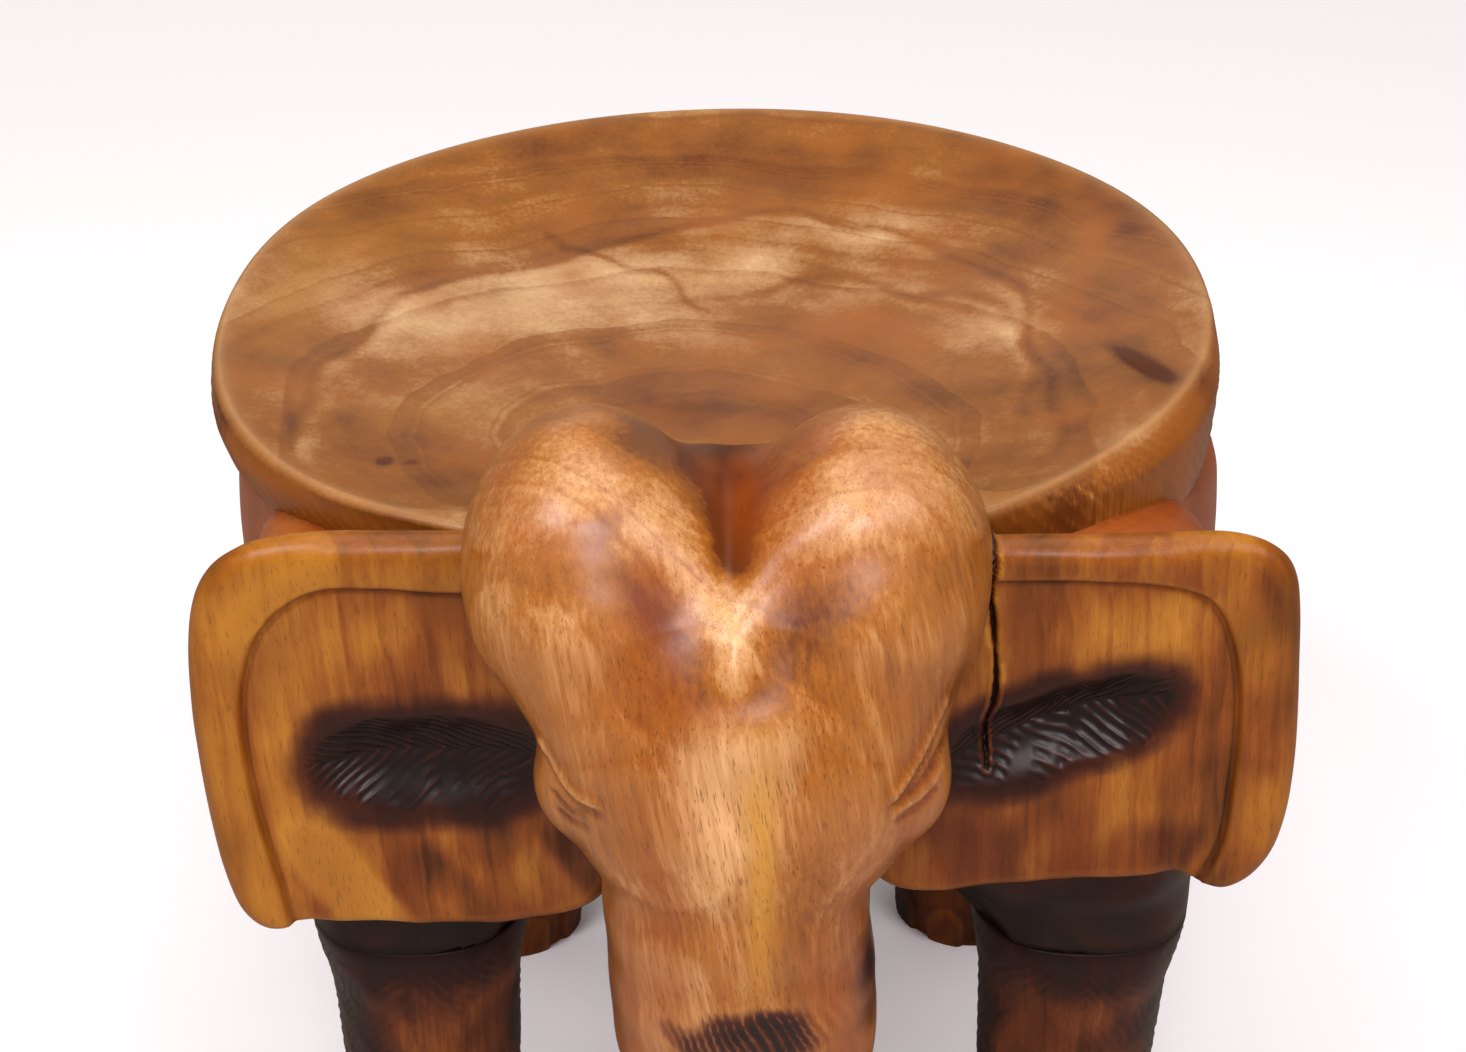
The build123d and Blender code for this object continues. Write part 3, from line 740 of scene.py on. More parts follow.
def face_cuts(p):
    """The push along the normal in millimetres, and the marks for the wood: scorching, with painted shade in the cleft;
    lighter and darker colour, with painted highlights and painted shade; blush and dry.
    """
    wrinkle_pitch, hatch_pitch, hatch_depth = 9.5, 2.6, 0.35
    nostril_aside, nostril_z, nostril_depth = 4.8, -227, 3.0
    x, y, z = p[..., 0], p[..., 1], p[..., 2]
    face = ease(-y, 150, 166)
    push = 0.4 * hills(p, 34, 5) + 0.12 * hills(p, 12, 6)
    push -= 0.5 * hump(z + 0.010 * (x - 1) ** 2, -10, 5) * hump(x, 0, 14) * face  # groove over the nose
    figure = dabs(x, y, CROWN_FIGURE_AND_LIGHT) * ease(z, 14, 22)
    figure += face * dabs(x, z, FACE_FIGURE_AND_LIGHT)
    # the domes' sharp lower edges, proud above and hollow below, with a painted highlight along each edge and painted
    # shade in the hollow under it, more of it on the elephant's right
    below = np.maximum(*(way * beside(x, z, smooth_line(line)) for way, line in zip((1, -1), V_RIDGE)))
    near = face * hump(x, 0, 50)
    above = ease(-below, -4.5, 4.5) * hump(np.minimum(below, 0), 0, 18)
    push += near * (1.1 * above + 0.5 * hump(below, -3, 5) - 0.8 * hump(below, 8, 6))
    figure += near * (0.22 * hump(below, -4, 8) - (0.15 + 0.12 * ease(-x, 4, 14)) * hump(below, 8, 6))
    # painted shade: the elephant's left side, turned away from the stronger light, is made redder
    blush = 0.55 * ease(x, 12, 34) * ease(-z, -14, 20)
    blush -= dabs(x, z, [(5, -62, 30, 3.6, 90, 1.1), (3, -36, 10, 5, 90, 0.5)])
    # raised folds are painted lighter, as a highlight, and sunken ones darker, as painted shade
    for places, height in EYE_FOLDS:
        gap = np.abs(beside(x, z, smooth_line(places)))
        push += 1.2 * height * hump(gap, 0, 1.05) * face
        figure += (0.2 if height > 0 else -0.22) * hump(gap, 0, 1.0) * face
    # wrinkles and nostrils of the trunk
    wrinkle = hump(np.mod(z + 0.05 * x**2 / 10 + 1.5 * hills(p, 40, 8), wrinkle_pitch) - wrinkle_pitch / 2, 0, 1.1)
    push -= 0.45 * wrinkle * ease(-z, 150, 175) * ease(-y, 168, 185)
    nostril = np.hypot(np.abs(x) - nostril_aside, z - nostril_z)
    push -= nostril_depth * hump(nostril, 0, 2.6) * ease(-y, 232, 236)
    # the hatched patch, its scorching round the side of the trunk, and the cleft. The cleft's darkness is painted
    # shade, laid on as scorching and darker colour: deepest in its groove and on the inner wall of the dome on the
    # elephant's right, while its other half is left orange.
    hatch = hump(x, 3, 24) * hump(z, -114, 11) * face
    flank = dabs(y, z, [(-176, -112, 13, 15, 0, 1.0)]) * ease(x, 20, 32) * ease(0.3 * hills(p, 12, 10) + 0.8, 0.3, 0.9)
    push -= hatch_depth * gouge_marks(x + 0.35 * z + 1.5 * hills(p, 18, 7), hatch_pitch) * ease(hatch, 0.25, 0.6)
    valley = hump(x, -1.5 - 4 * ease(y, -160, -125), 7.0) * ease(z, 8, 15)
    groove = hump(x, -2.5, 4.5) * ease(z, 7, 15) * ease(-y, 118, 130)
    push -= 0.9 * groove
    painted_cleft_shade = dabs(x, y, [(-15, -137, 9, 14, -20, 1.0)]) * ease(z, 14, 24)
    scorch = 0.92 * ease(hatch + 0.16 * hills(p, 15, 9), 0.3, 0.85) + 0.8 * flank
    scorch += 0.25 * valley * ease(y, -158, -136)
    scorch += 0.12 * painted_cleft_shade
    figure = figure - valley * (0.4 + 0.25 * ease(-x, -2, 5)) - 0.34 * painted_cleft_shade - 0.5 * groove
    blush += 0.7 * valley * ease(x, -6, 4)
    dry = hump(x, -2, 7) * ease(z, 6, 13) * ease(-y, 112, 124)
    return push, {"scorch": np.clip(scorch, 0, 1), "figure": figure, "blush": np.clip(blush, -1, 1), "dry": dry}


# %% Carve the head
head_origin, head_direction = head_rays(crown_rows=90, spine_rows=200, tip_rows=16, columns=310)
head_points = cast(head_distance, head_origin, head_direction, reach=90.0)
head_push, head_marks = face_cuts(head_points)
head_points = head_points + outward(head_points) * head_push[..., None]
# crests are lighter, as wear and, most on the scorched cuts, as a painted highlight; valleys are darker, as painted
# shade
head_marks["crest"] = crests(head_points) * np.clip(0.3 + head_marks["scorch"], 0, 1)
head = skin("head_carved", head_points, head_marks, HEAD_WOOD)
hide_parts("head")
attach(head, "root")

# %% [markdown]
# ## Ears
#
# Each ear is a board laid against the front of the shoulders, with its border left proud, a scorched hollow cut
# like a feather, and a few broad gouge facets under it. The border's outline and its inner line are smooth
# curves through a few places. Rows of the grid grow from a middle point to the outline, roll over the
# edge and shrink again on the back, so the whole board is one closed skin.

# %% Outlines of the ears
# Places are x and z. line is the inner edge of the border, pale are dabs of light wood, vein and leaf the middle
# line and half height of the scorched hollow.
EARS = {
    "ear_right": dict(
        outline=[(-36, 4.5), (-70, 4.8), (-104, 5), (-121.5, 2.8), (-129.8, -0.6), (-136.2, -6), (-141, -15),
                 (-143.8, -28), (-145.2, -48), (-145.2, -70), (-144.4, -90), (-142.8, -104), (-140, -116),
                 (-135.4, -122.2), (-129.2, -123.8), (-123, -122.2), (-114, -122.8), (-90, -123), (-63, -123),
                 (-42, -117), (-33, -100), (-30, -60), (-31, -20)],
        line=[(-30, -11.5), (-70.6, -11.2), (-92, -9.4), (-107, -10), (-117.5, -15.5), (-125, -24.5), (-129.7, -37),
              (-131.8, -50), (-131.8, -66), (-130.5, -83), (-128, -100), (-124.5, -124)],
        pale=[(-120, -46, 7, 32, 0, 0.20), (-96, -28, 14, 10, 0, 0.08), (-100, -102, 10, 10, 0, 0.20),
              (-82, -114, 12, 10, 0, 0.26), (-56, -108, 9, 10, 0, 0.12)],
        middle=(-84, -64), vein=((-116, -67), (-84, -65.5), (-50, -64)), leaf=15.5, root_crack=None),
    "ear_left": dict(
        outline=[(36, 3.5), (68, 4.0), (100, 4.6), (120, 4.8), (130, 3.2), (137.2, -0.8), (141.2, -7), (143.4, -17),
                 (145.6, -36), (147.6, -58), (148, -76), (147.2, -88), (145, -97.6), (140.6, -105.4),
                 (134.4, -109), (127.4, -107.8), (120, -104.8), (112, -106.4), (98, -107.4), (70, -110),
                 (44, -111.6), (33, -98), (30, -60), (31, -20)],
        line=[(30, -7.5), (65, -7.4), (85, -7), (101, -7.8), (113, -10), (120.6, -14.5), (126, -25), (129.6, -40),
              (131, -56), (131.2, -73), (130.5, -93), (124, -110)],
        pale=[(104, -22, 14, 12, 0, 0.16), (84, -26, 8, 12, 0, 0.08)],
        middle=(88, -56), vein=((54, -66), (84, -54), (118, -44)), leaf=13.5,
        root_crack=[(61, 14), (63.5, -1), (63.3, -13), (64.5, -21), (66.3, -41), (64.5, -52), (65.5, -68)]),
}


def ear_cuts(x, z, ear):
    """How far the front of an ear sinks behind its border, in millimetres, and the marks for the wood."""
    border_step, hollow_depth, cut_depth = 1.5, 7.0, 0.5
    pitch_above, pitch_below, facet_width = 2.3, 2.6, 26.0
    p = vectors(x, z, 0)
    out = math.copysign(1.0, ear["middle"][0])
    inside = out * beside(x, z, smooth_line(ear["line"]))
    sink = border_step * ease(inside, -0.9, 1.1) + 0.9 * hump(inside, 0.3, 0.9) - 0.8 * hump(inside, -6.5, 4.5)
    sink = sink + 0.7 * hills(p, 60, 31) + 0.2 * hills(p, 17, 32)
    # the hollow, as a leaf about a bent vein, cut like a feather
    (x0, z0), (xm, zm), (x1, z1) = ear["vein"]
    along = (x - xm) / ((x1 - x0) / 2)
    vein_z = zm + (z1 - z0) / 2 * along + ((z1 + z0) / 2 - zm) * along**2
    over = (z - vein_z + 0.8 * hills(p, 16, 33)) / ear["leaf"]
    leaf = 1 - np.abs(along) ** 2.6 - np.abs(over) ** 2
    sink += hollow_depth * (np.logaddexp(0, 5 * leaf) / 5.0) ** 1.2
    wave = 1.4 * hills(p, 22, 34)
    above = gouge_marks((z - vein_z) * 0.88 - x * 0.48 * out + wave, pitch_above)
    below = gouge_marks((z - vein_z) * 0.78 + x * 0.62 * out + wave, pitch_below)
    cuts = np.where(over > 0, above, below) * ease(leaf + 0.35 * hills(p, 12, 48), -0.1, 0.4)
    cuts *= patches(p, 9, 50, -0.8, 0.3)
    sink = sink + cut_depth * cuts + cut_depth * hump(over, 0, 0.10) * ease(leaf, 0.0, 0.4)
    smoke = 1.25 - np.abs(along / 1.06) ** 4 - (over / 1.3) ** 2
    scorch = ease(smoke + 0.15 * hills(p, 26, 35), -0.8, 1.1) ** 1.4 * (0.90 + 0.10 * cuts)
    # broad facets below it
    low = ease(-z, 80, 92) * ease(inside, 2, 8)
    facet = np.sin(math.pi * (x + 0.3 * z + 8.0 * hills(p, 60, 37)) / facet_width)
    sink += 0.6 * low * np.sqrt(facet**2 + 0.02)
    # light and dark, above all on the border
    border = ease(-inside, -0.5, 3.0) * patches(p, 46, 39, -0.6, 0.8)
    figure = 0.10 * ease(-inside, 0, 3) * hills(p, 24, 49) + 0.20 * border - 0.16 * hump(inside, 0.8, 1.6)
    figure = figure - 0.04 * low + 0.10 * hills(p, 70, 45)
    figure = figure + low * 0.20 * np.tanh(4 * facet) + 0.05 * np.tanh(3 * hills(p, 24, 52)) * ease(inside, 0, 4)
    figure += dabs(x, z, ear["pale"])
    figure += border * (0.07 * hills(p * np.array([1, 0.3, 1]), 7, 53) - 0.14 * ease(-inside, 8, 15))
    blush = 0.35 * ease(inside, 0, 4) * hills(p, 50, 46) + 0.3 * low - 1.2 * border
    if ear["root_crack"]:
        gap = np.abs(beside(x, z, smooth_line(ear["root_crack"]))) + 0.3 * hills(p, 5, 36)
        sink = sink + 3.0 * (1 - ease(gap, 0.1, 0.7)) - 0.35 * hump(gap, 1.6, 0.7)
        scorch = np.maximum(scorch, 1 - ease(gap, 0.1, 0.8))
        figure += 0.3 * hump(gap, 1.7, 0.6) * patches(p, 7, 47, -0.2, 0.5)
    return sink, {"scorch": np.clip(scorch, 0, 1), "figure": figure, "blush": np.clip(blush, -1, 1)}


# %% Carve the ears
ear_front, ear_back, ear_roll = -150.0, glue_y - 0.3, 5.5  # y of the faces, and radius of the rolled edge


def ear_grid(ear, front_rows, columns):
    """Rows from the middle of the front out to the outline, over the rolled edge and back in behind."""
    edge = smooth_line(ear["outline"], closed=True)
    xm, zm = ear["middle"]
    bearing = np.unwrap(np.arctan2(edge[:, 1] - zm, edge[:, 0] - xm))
    order = np.argsort(np.mod(bearing, 2 * math.pi))
    turn = round_turn(columns)
    reach = np.interp(turn, np.mod(bearing, 2 * math.pi)[order],
                      np.hypot(edge[:, 0] - xm, edge[:, 1] - zm)[order], period=2 * math.pi)
    edge_z = zm + reach * np.sin(turn)
    slope_in = 3.0 + 8.0 * ease(edge_z, -25, 0)
    roll = np.linspace(0, math.pi / 2, 12)
    behind = np.linspace(0, 1, 14)[1:]
    share = np.linspace(0, 1, front_rows)[:-1] ** 0.95
    inward = np.linspace(1, 0, 18)[1:]
    radius = np.concatenate([
        share[:, None] * (reach - ear_roll),
        reach - ear_roll * (1 - np.sin(roll))[:, None],
        reach - slope_in * (behind**1.4)[:, None],
        inward[:, None] * (reach - slope_in)])
    depth = np.concatenate([
        np.zeros(len(share)), ear_roll * (1 - np.cos(roll)),
        ear_roll + (ear_back - ear_front - ear_roll) * behind, np.full(len(inward), ear_back - ear_front)])
    x, z = xm + radius * np.cos(turn), zm + radius * np.sin(turn)
    sink, marks = ear_cuts(x, z, ear)
    fade = 1 - ease(depth, ear_roll * 0.6, ear_back - ear_front - 1)[:, None]
    y = ear_front + depth[:, None] + sink * fade
    return vectors(x, y, z), {mark: value * fade for mark, value in marks.items()}


for node, ear in EARS.items():
    ear_points, ear_marks = ear_grid(ear, front_rows=120, columns=460)
    # crests are lighter, as wear and, most on the scorched feather cuts, as a painted highlight; valleys are darker, as
    # painted shade
    ear_marks["crest"] = crests(ear_points) * np.clip(0.3 + 0.6 * ear_marks["scorch"], 0, 1)
    carved = skin(node + "_carved", ear_points, ear_marks, EAR_WOOD)
    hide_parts(node)
    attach(carved, "root")

# %% [markdown]
# ## Seat
#
# The seat is a dished disc. Its profile turns about the seat's axis: underside, wall, rim and dish. The real
# rim is neither quite round nor quite level, so radius and height swell a little round the turn. The front is
# cut flat where the back of the head stands against it.

# %% The seat's profile
rim_crest_inset = 2.2
dish_depth = 22.0
wall_inset = 8.0
under_edge = 6.0  # radius of the edge between underside and wall
WALL_ROW, RIM_ROW, DISH_ROW = 15, 40, 48  # where the profile's parts start
RIM_RADII = [(0, 150.3), (9, 152.2), (20, 155.0), (33, 156.3), (70, 156.5), (93, 154.5), (120, 153.5), (146, 154.2),
             (160, 152.6), (171, 150), (182, 149.4), (190, 150.5), (200, 152.5), (211, 154.3), (222, 155.4),
             (231, 153.9), (237, 150.4), (244, 146.3), (270, 144), (301, 147), (310, 146), (322, 146), (333, 148.6),
             (345, 149.8), (353, 150.2)]  # degrees from the elephant's left, and millimetres


def seat_profile():
    """Radius and height from the middle of the underside, up the wall, over the rim and into the dish."""
    foot = seat_radius - wall_inset - under_edge
    under = np.linspace(0, foot, 10)
    turn_up = np.linspace(0, math.pi / 2, 6)[1:]
    wall = np.linspace(0, 1, 26)[1:]
    turn_in = np.linspace(0, math.pi * 0.6, 9)[1:]
    rim_r = seat_radius - rim_crest_inset + rim_crest_inset * np.cos(turn_in)
    rim_z = -rim_crest_inset + rim_crest_inset * np.sin(turn_in)
    dish = 1 - np.linspace(0, 1, 90)[1:] ** 1.12
    parts = [
        (under, np.full(len(under), seat_under)),
        (foot + under_edge * np.sin(turn_up), seat_under + under_edge - under_edge * np.cos(turn_up)),
        (seat_radius - wall_inset + wall_inset * np.sin(wall * math.pi / 2) ** 0.8,
         seat_under + under_edge + wall * (-seat_under - under_edge - rim_crest_inset)),
        (rim_r, rim_z),
        (rim_r[-1] * dish, -dish_depth + (rim_z[-1] + dish_depth) * dish**2.3)]
    return [np.concatenate(column) for column in zip(*parts)]


# %% Carve the seat
def seat_grid(columns):
    """The profile turned about the axis, with a rim that is a little off round, off centre and off level, chisel
    chatter on the wall and long shallow hollows in the dish."""
    seat_aside, rim_aside, rim_tilt = 4.5, 3.5, 0.012  # millimetres to the elephant's right; rise over run
    rib_pitch, rib_depth, collar_height, collar_width = 5.2, 0.7, 7.0, 11.0
    profile_r, profile_z = seat_profile()
    turn = round_turn(columns)
    bearings, radii = np.array(RIM_RADII).T
    rim = np.interp(np.degrees(turn), bearings, radii, period=360)
    window = np.hanning(columns // 20 * 2 + 1)
    rim = np.convolve(np.tile(rim, 3), window / window.sum(), mode="same")[columns:2 * columns]
    up = ease(profile_z, -40, -4)[:, None]
    radius = profile_r[:, None] * (1 + up * (rim - seat_radius)[None, :] / seat_radius)
    z = np.broadcast_to(profile_z[:, None], radius.shape)
    bearing = np.degrees(turn)
    fuller = 6.5 * hump(bearing, 328, 22) + 3.0 * hump(bearing, 212, 17)
    row = np.arange(len(profile_r))[:, None]
    on_wall = ease(row, WALL_ROW, WALL_ROW + 5) * (1 - ease(row, RIM_ROW - 5, RIM_ROW + 1))
    radius = radius + fuller * on_wall
    points = vectors(radius * np.cos(turn) - seat_aside - rim_aside * up, radius * np.sin(turn), z)
    share = profile_r[:, None] / seat_radius
    on_top = np.where(row >= DISH_ROW, 1.0, 0.0)
    in_dish = on_top * (1 - ease(share, 0.5, 0.99))
    points[..., 2] += in_dish * (1.0 * hills(points, 70, 11) + 0.35 * hills(points, 24, 12))
    points[..., 2] += rim_tilt * points[..., 0] * ease(z, -38, -10)
    chatter = gouge_marks(turn * seat_radius + 0.9 * z + 3 * hills(points, 45, 13), rib_pitch)
    strength = on_wall * (0.35 + 0.65 * hills(points, 40, 14))
    ribs = np.clip(strength + 0.8 * on_wall * hump(bearing, 224, 18), 0, 1) * chatter
    points = points - outward(points) * (rib_depth * ribs)[..., None]
    points[..., 1] = np.maximum(points[..., 1], glue_y)
    collar = np.exp(-((np.maximum(head_distance(points), 0.0) / collar_width) ** 1.5))
    points[..., 2] += on_top * ease(points[..., 1], glue_y, glue_y + 12) * collar_height * collar
    return points, ribs


seat_points, seat_ribs = seat_grid(columns=690)

# %% [markdown]
# The dish shows the log's end grain: pale and dark zones that follow rings round the heart, orange and golden flames, a
# dark line where a check was filled, two small knots and one deep gouge mark by the rim. The broad pale zones behind
# the middle and towards the elephant's right are blond wood with a painted reflection of the window behind laid over
# it. A texture alone would scatter them; here they lie where the hand would find them, and the shader's grain breaks
# them up.

# %% Figure of the dish, with a painted reflection
PALE_RING = [(-122, -84), (-124, -50), (-119, -11), (-102, 31), (-60, 64), (-14, 87), (14, 89), (53, 75), (83, 33),
             (89, -29), (85, -81)]
ORANGE_RING = [(-4, 44), (20, 50), (48, 45), (76, 22), (87, -16), (80, -52)]
CHECK = [(-66, 82), (-52, 70), (-40, 61), (-24, 50), (-10, 37)]


def dish_marks(p):
    """Marks for the seat's wood: lighter and darker colour from its zones, rings, check and knots, with a painted
    reflection in its broad pale zones; blush from its flames.
    """
    fine = 1.5 * hills(p, 15, 53)
    x = p[..., 0] + (5 * hills(p, 46, 51) + fine)
    y = p[..., 1] + (5 * hills(p, 46, 52) + fine)
    top = ease(p[..., 2], -26, -18)
    # the first three dabs, broad and pale, hold a painted reflection of the window behind as well as blond wood
    figure = dabs(x, y, [(-66, 24, 58, 24, 14, 0.30), (-20, 56, 46, 15, 12, 0.24), (24, 76, 46, 11, -8, 0.13),
                         (-96, 2, 26, 12, 60, 0.12), (-118, -54, 17, 12, 70, -0.22), (-16, -30, 24, 22, 0, -0.35),
                         (0, 122, 95, 13, 0, -0.16), (122, 66, 34, 14, 100, -0.26), (-104, 92, 42, 10, 42, -0.12),
                         (104, -20, 22, 18, 60, -0.14), (-60, -100, 40, 10, -20, -0.16), (60, -40, 34, 20, 0, -0.06)])
    ring = beside(x, y, smooth_line(PALE_RING))
    figure += 0.10 * hump(ring, 4, 4) - 0.16 * hump(ring, -1, 2.2)
    ring = beside(x, y, smooth_line(ORANGE_RING))
    figure += 0.06 * hump(ring, 3, 4) - 0.14 * hump(ring, -1, 2.5)
    figure -= 0.17 * hump(beside(x, y, smooth_line(CHECK)), 0, 2.0)
    figure += dabs(p[..., 0], p[..., 1], [(-99, -84, 3.2, 1.8, 80, -0.8), (-68, -77, 3.4, 1.6, 75, -0.8),
                                         (-92, -82, 2.0, 1.2, 60, -0.5), (118, -38, 17, 2.4, -72, -0.9)])
    blush = dabs(x, y, [(41, 11, 50, 13, -4, 0.8), (108, 50, 30, 6, 84, 1.0), (100, -62, 24, 7, -4, 0.8),
                        (20, -10, 40, 16, 10, 0.5), (60, 104, 60, 14, -20, 0.5), (-139, 16, 60, 12, 78, -1.1),
                        (-84, -45, 28, 13, 12, -0.8), (-112, 62, 40, 12, 45, -0.6)])
    return {"figure": figure * top, "blush": np.clip(blush, -1, 1) * top}


seat_row = np.arange(len(seat_points))[:, None]
seat_wall = ease(seat_row, WALL_ROW - 5, WALL_ROW + 3) * (1 - ease(seat_row, RIM_ROW - 3, RIM_ROW + 1))
seat_marks = dish_marks(seat_points)
bearing = np.linspace(0, 360, seat_points.shape[1], endpoint=False)
# the wall is darker and redder, with a painted sheen on its front towards the elephant's left, darker at two bearings,
# and its chisel ribs darkened as painted shade
painted_sheen = seat_wall * hump(bearing, 312, 16)
darker = seat_wall * (hump(bearing, 222, 16) + 1.6 * hump(bearing, 345, 13))
seat_marks["figure"] += 0.38 * painted_sheen - 0.12 * darker - 0.48 * seat_wall - 0.55 * seat_ribs
seat_marks["blush"] += 0.7 * seat_wall - 0.3 * painted_sheen
seat_marks["tooled"] = seat_wall * patches(seat_points, 60, 54, -0.8, 0.8)
# a painted highlight along the crest of the rim
seat_marks["crest"] = np.broadcast_to(0.9 * hump(seat_row, RIM_ROW + 5, 3.2), seat_points.shape[:2])
gouge = dabs(seat_points[..., 0], seat_points[..., 1], [(118, -38, 17, 2.6, -72, 1.0)])
gouge *= ease(seat_row, DISH_ROW, DISH_ROW + 6)
seat_points[..., 2] -= 0.9 * gouge
seat_marks["dry"] = gouge
seat = skin("seat_carved", seat_points, seat_marks, SEAT_WOOD)
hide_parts("seat")
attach(seat, "root")

# %% [markdown]
# ## Body and legs
#
# Under the seat is a barrel with shoulders in front, that carry the ears, and haunches behind. Each leg is a
# round post that swells into it. The posts are blocks of their own on the real stool, with tenons into the
# body, but the carver worked across the joints. So one distance function shapes both, and each leg takes
# over where the body is cut.

# %% The masses of the body
LEGS = {}
LEG_SWAY = {"leg_front_left": (3.5, 0), "leg_front_right": (1.5, 0), "leg_rear_left": (4, 0),
            "leg_rear_right": (-4, -6)}  # millimetres to the left and back from where the block stands
for node, (aside, back) in LEG_SWAY.items():
    low, high = (np.array(corner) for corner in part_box(node))
    x, y = ((low + high) / 2 - home)[:2] / MM
    LEGS[node] = (x + aside, y + back)
print({node: (round(x), round(y)) for node, (x, y) in LEGS.items()})
leg_start = belly - 0.1
barrel = (-4, 1)


def super_egg(p, centre, radius, up, down, power=2.6):
    """Distance, near enough, to an upright egg with squarer shoulders: the sum of the powers of the distance
    from the axis over the radius and of the height over up or down is 1 on its skin."""
    across = np.hypot(p[..., 0] - centre[0], p[..., 1] - centre[1]) / radius
    rise = p[..., 2] - centre[2]
    rise = np.where(rise > 0, rise / up, -rise / down)
    return ((across**power + rise**power) ** (1 / power) - 1) * min(radius, up, down)


def drum(p, centre, radius, low, high, rounding):
    """Distance to an upright drum with rounded edges."""
    q = vectors(np.hypot(p[..., 0] - centre[0], p[..., 1] - centre[1]) - (radius - rounding),
                np.abs(p[..., 2] - (low + high) / 2) - ((high - low) / 2 - rounding))
    return lengths(np.maximum(q, 0)) + np.minimum(q.max(axis=-1), 0) - rounding


def leg_distance(p, x, y):
    """A haunch that comes out of the barrel, then a post that narrows to the shin and flares to the foot."""
    hip, knee = (0.93 * x, 0.93 * y, -84), (0.98 * x, 0.98 * y, -114)
    haunch = np.minimum(rod(p, (0.80 * x, 0.80 * y, -56), hip, 27, 37), rod(p, hip, knee, 37, 36.5))
    return joined(
        haunch,
        (rod(p, knee, (x, y, -150), 36.5, 30), 6),
        (rod(p, (x, y, -150), (x, y, -240), 30, 26), 10),
        (rod(p, (x, y, -240), (x, y, -300), 26, 27), 6),
        (rod(p, (x, y, -299), (x, y, -340), *((28.5, 31) if y < 0 else (26.5, 28.5))), 8))


TAIL_LINE = [(-1, 141, -54), (-1, 146.5, -78), (-1, 145, -100), (-1, 138, -118), (-1, 129, -131), (-1, 121, -138)]
TAIL_RADII = [6, 6.5, 6, 6.5, 7.5, 4.5]


def body_distance(p):
    """The barrel, the shoulders that carry the ears, the haunches over the legs, and the tail on the rump."""
    return joined(
        super_egg(p, (*barrel, -72), 149.6, 78, 84),
        (drum(p, barrel, 148.8, -96, -8, 14), 12),
        (block(p, (-2, -106, -62), (131, 30, 54), 24), 14),
        *((leg_distance(p, x, y), 12) for x, y in LEGS.values()),
        *rods(p, TAIL_LINE, TAIL_RADII, 3))


def cut(d, other, rounding):
    """The larger of two distances, with the edge between them rounded."""
    return -soft_union(-d, -other, rounding)


def trim_front(d, p):
    """Cut flat in front where the ears are glued on. Under the ears the cut is rounded and runs out over the legs."""
    face = glue_y + 0.2 - p[..., 1] - 0.22 * np.maximum(belly - p[..., 2], 0)
    return cut(d, face, 0.2 + 9.0 * ease(-p[..., 2], 122, 134))


def body_block(p):
    """The body's masses below the seat and the collar that rises round it in front, above the belly and behind
    the glue face."""
    roof = seat_under - 0.4 + (-13.5 - seat_under) * ease(-p[..., 1], 8, 118)
    d = trim_front(cut(body_distance(p), p[..., 2] - roof, 7), p)
    return cut(d, belly - p[..., 2], 0.3)


# %% [markdown]
# The legs are scorched dark down their sides, over rows of short slanting cuts. High up, under the ears and the belly,
# they are dark all round, and that darkness is painted shadow as well as scorching. A strip down the front of each
# stays brown. The same rule is used for the body just above them, so the scorching runs across the joints. The feet are
# cleaner, with nails cut round the front.

# %% Scorching, painted shadow and cuts on the legs
def leg_scorch_and_shadow(p, height):
    """Scorching near the four legs: full on their sides and high up, none down the front and on the feet. High up it is
    painted shadow as well, under the ears and the belly.
    """
    total = np.zeros(p.shape[:-1])
    for x, y in LEGS.values():
        reach = np.hypot(p[..., 0] - x, p[..., 1] - y)
        front = (y - p[..., 1]) / np.maximum(reach, 1.0)
        outer = (p[..., 0] - x) * math.copysign(1.0, x) / np.maximum(reach, 1.0)
        tilt = 0.42 if x < 0 else 0.1  # the clean strip leans outwards more on the right
        strip = ease(front - tilt * outer + 0.2 * hills(p, 30, 41), 0.38, 0.92) * ease(-p[..., 2], 144, 176)
        # high up the legs are dark all round: scorching, and painted shadow under the ears and the belly
        high = ease(-height, 92, 122) * (1 - (0.75 if y < 0 else 0.3) * ease(-p[..., 2], 205, 262))
        side = (0.92 - 0.78 * strip) * high * (1 - ease(reach, 54, 76))
        total = np.maximum(total, side)
    joint = 0.25 * hump(p[..., 2], belly, 2.0) * ease(total, 0.05, 0.3)
    return np.clip(total + 0.10 * hills(p, 14, 42) * (total > 0.05) + joint, 0, 1)


def leg_cuts(p, x, y):
    """Slanting cuts down the sides and nails round the front of the foot, as a push along the normal."""
    cut_pitch, cut_depth = 3.3, 0.4
    nail_half_width, nail_height, nail_lift = 7.5, 8.5, 1.5
    turn = np.arctan2(p[..., 0] - x, y - p[..., 1])
    z = p[..., 2]
    slant = gouge_marks(z * 0.62 + 24 * np.abs(turn) + 2.5 * hills(p, 24, 43), cut_pitch)
    stroke = patches(p * np.array([1, 1, 0.6]), 9, 48, -0.7, 0.2)
    push = 0.4 * hills(p, 45, 44) - cut_depth * slant * stroke * leg_scorch_and_shadow(p, z)
    for nail in (-1.15, -0.4, 0.4, 1.15):
        across = (turn - nail) * 30 / nail_half_width
        up = (z - floor_z - nail_height) / nail_height
        shape = ease(1.25 - np.sqrt(across**2 + np.clip(up, 0, 9) ** 2 + 0.2 * np.clip(-up, 0, 9) ** 2), 0, 0.35)
        push += nail_lift * shape
    return push


# %% Carve the body
def level_ways(turn):
    """Unit directions in the level plane."""
    return vectors(np.cos(turn), np.sin(turn), 0)


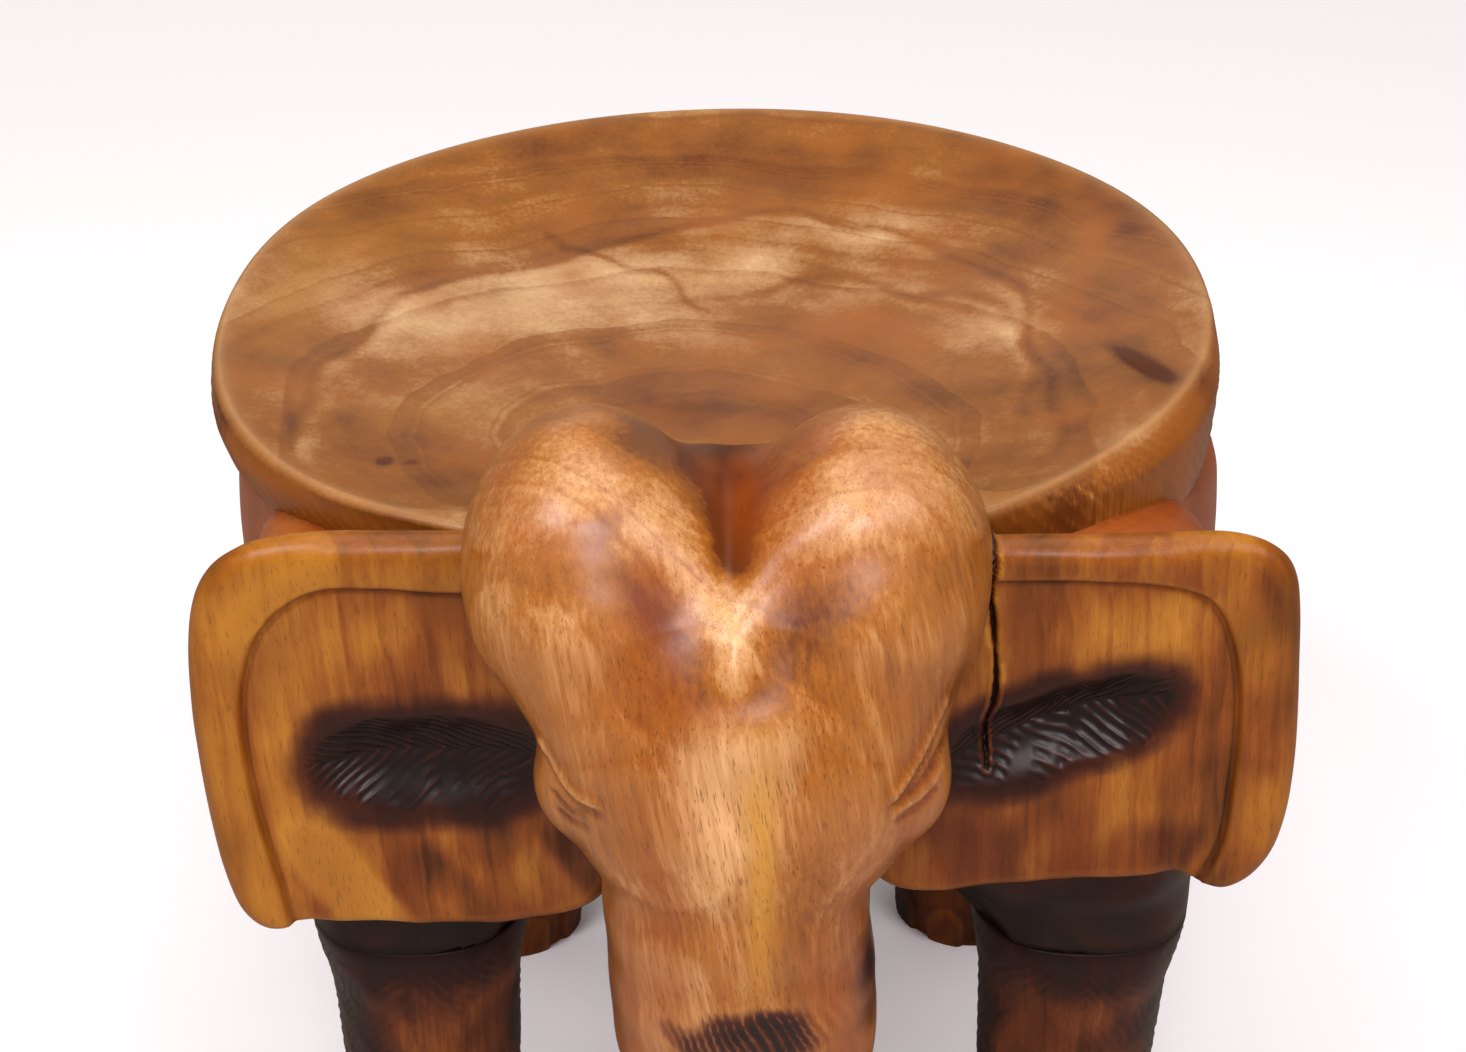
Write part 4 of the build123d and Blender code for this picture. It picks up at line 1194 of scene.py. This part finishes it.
def globe(rows, columns, squash):
    """Directions from pole to pole, with the rows pressed towards the equator for a flat mass."""
    lift = np.linspace(math.pi / 2, -math.pi / 2, rows)[:, None]
    turn = round_turn(columns)
    way = vectors(np.cos(lift) * np.cos(turn), np.cos(lift) * np.sin(turn), squash * np.sin(lift))
    return way / lengths(way, keepdims=True)


def sharpen_belly(points):
    """Each column's first point on the belly, moved out to where the sides meet it, so that the legs' tops don't
    stand proud of a blunt edge."""
    columns = points.shape[1]
    way = level_ways(round_turn(columns))
    edge = cast(lambda p: trim_front(body_distance(p), p), np.array([0, 0, belly + 0.2]), way, body_reach)
    first = np.argmax(points[..., 2] < belly + 0.4, axis=0)
    points[first, np.arange(columns)] = edge * np.array([1, 1, 0]) + np.array([0, 0, belly + 0.05])
    return points


body_reach, body_middle = 230.0, np.array([0.0, 0.0, -104.0])
body_points = cast(body_block, body_middle, globe(rows=250, columns=380, squash=0.45), body_reach)
swell = 0.5 * hills(body_points, 40, 21) * ease(body_points[..., 2], belly + 1, belly + 9)
body_points = sharpen_belly(body_points + outward(body_points) * swell[..., None])
body_height = body_points[..., 2]
body = skin("body_carved", body_points, {
    "scorch": leg_scorch_and_shadow(body_points, body_height + 8), "crest": 0.2 * crests(body_points),
    "dry": hump(body_height, belly, 2.5), "blush": 0.8 * ease(body_height, -80, -50)}, BODY_WOOD)
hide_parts("body")
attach(body, "root")

# %% Carve the legs
def leg_grid(x, y, rows, columns):
    """Rings of points down one leg, from the belly to the floor, closed by a point at each end. The top edge is
    eased by a fifth of a millimetre, as a chisel leaves it at a joint."""
    heights = np.concatenate([[leg_start] * 2, np.linspace(leg_start, floor_z, rows), [floor_z] * 2])
    shrink = np.ones(len(heights))
    shrink[[0, -1]], shrink[[1, -2]] = 0.0, 0.97
    origin = vectors(x, y, heights)[:, None]
    way = np.broadcast_to(level_ways(round_turn(columns))[None], (len(heights), columns, 3))
    surface = cast(lambda p: trim_front(leg_distance(p, x, y), p), origin, way, 60.0)
    worn = leg_cuts(surface, x, y) * ease(-heights, -leg_start, 8 - leg_start)[:, None]
    worn -= 0.2 * np.exp(heights - leg_start)[:, None]
    surface = surface + way * worn[..., None]
    return origin + (surface - origin) * shrink[:, None, None]


for node, (x, y) in LEGS.items():
    leg_points = leg_grid(x, y, rows=260, columns=200)
    leg_height = leg_points[..., 2]
    leg = skin(node + "_carved", leg_points, {
        "scorch": leg_scorch_and_shadow(leg_points, leg_height), "crest": 0.4 * crests(leg_points),
        "dry": hump(leg_height, belly, 2.5)}, LEG_WOOD)
    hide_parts(node)
    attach(leg, "root")

# %% The dowels keep their turned shape and get their own pale wood
for node in ("seat_dowels", "neck_dowels", "ear_dowels"):
    for piece in bpy.data.objects:
        if piece.type == "MESH" and piece.name.startswith(node):
            piece.data.materials.clear()
            piece.data.materials.append(DOWEL_WOOD)
            print("pale wood on", piece.name)
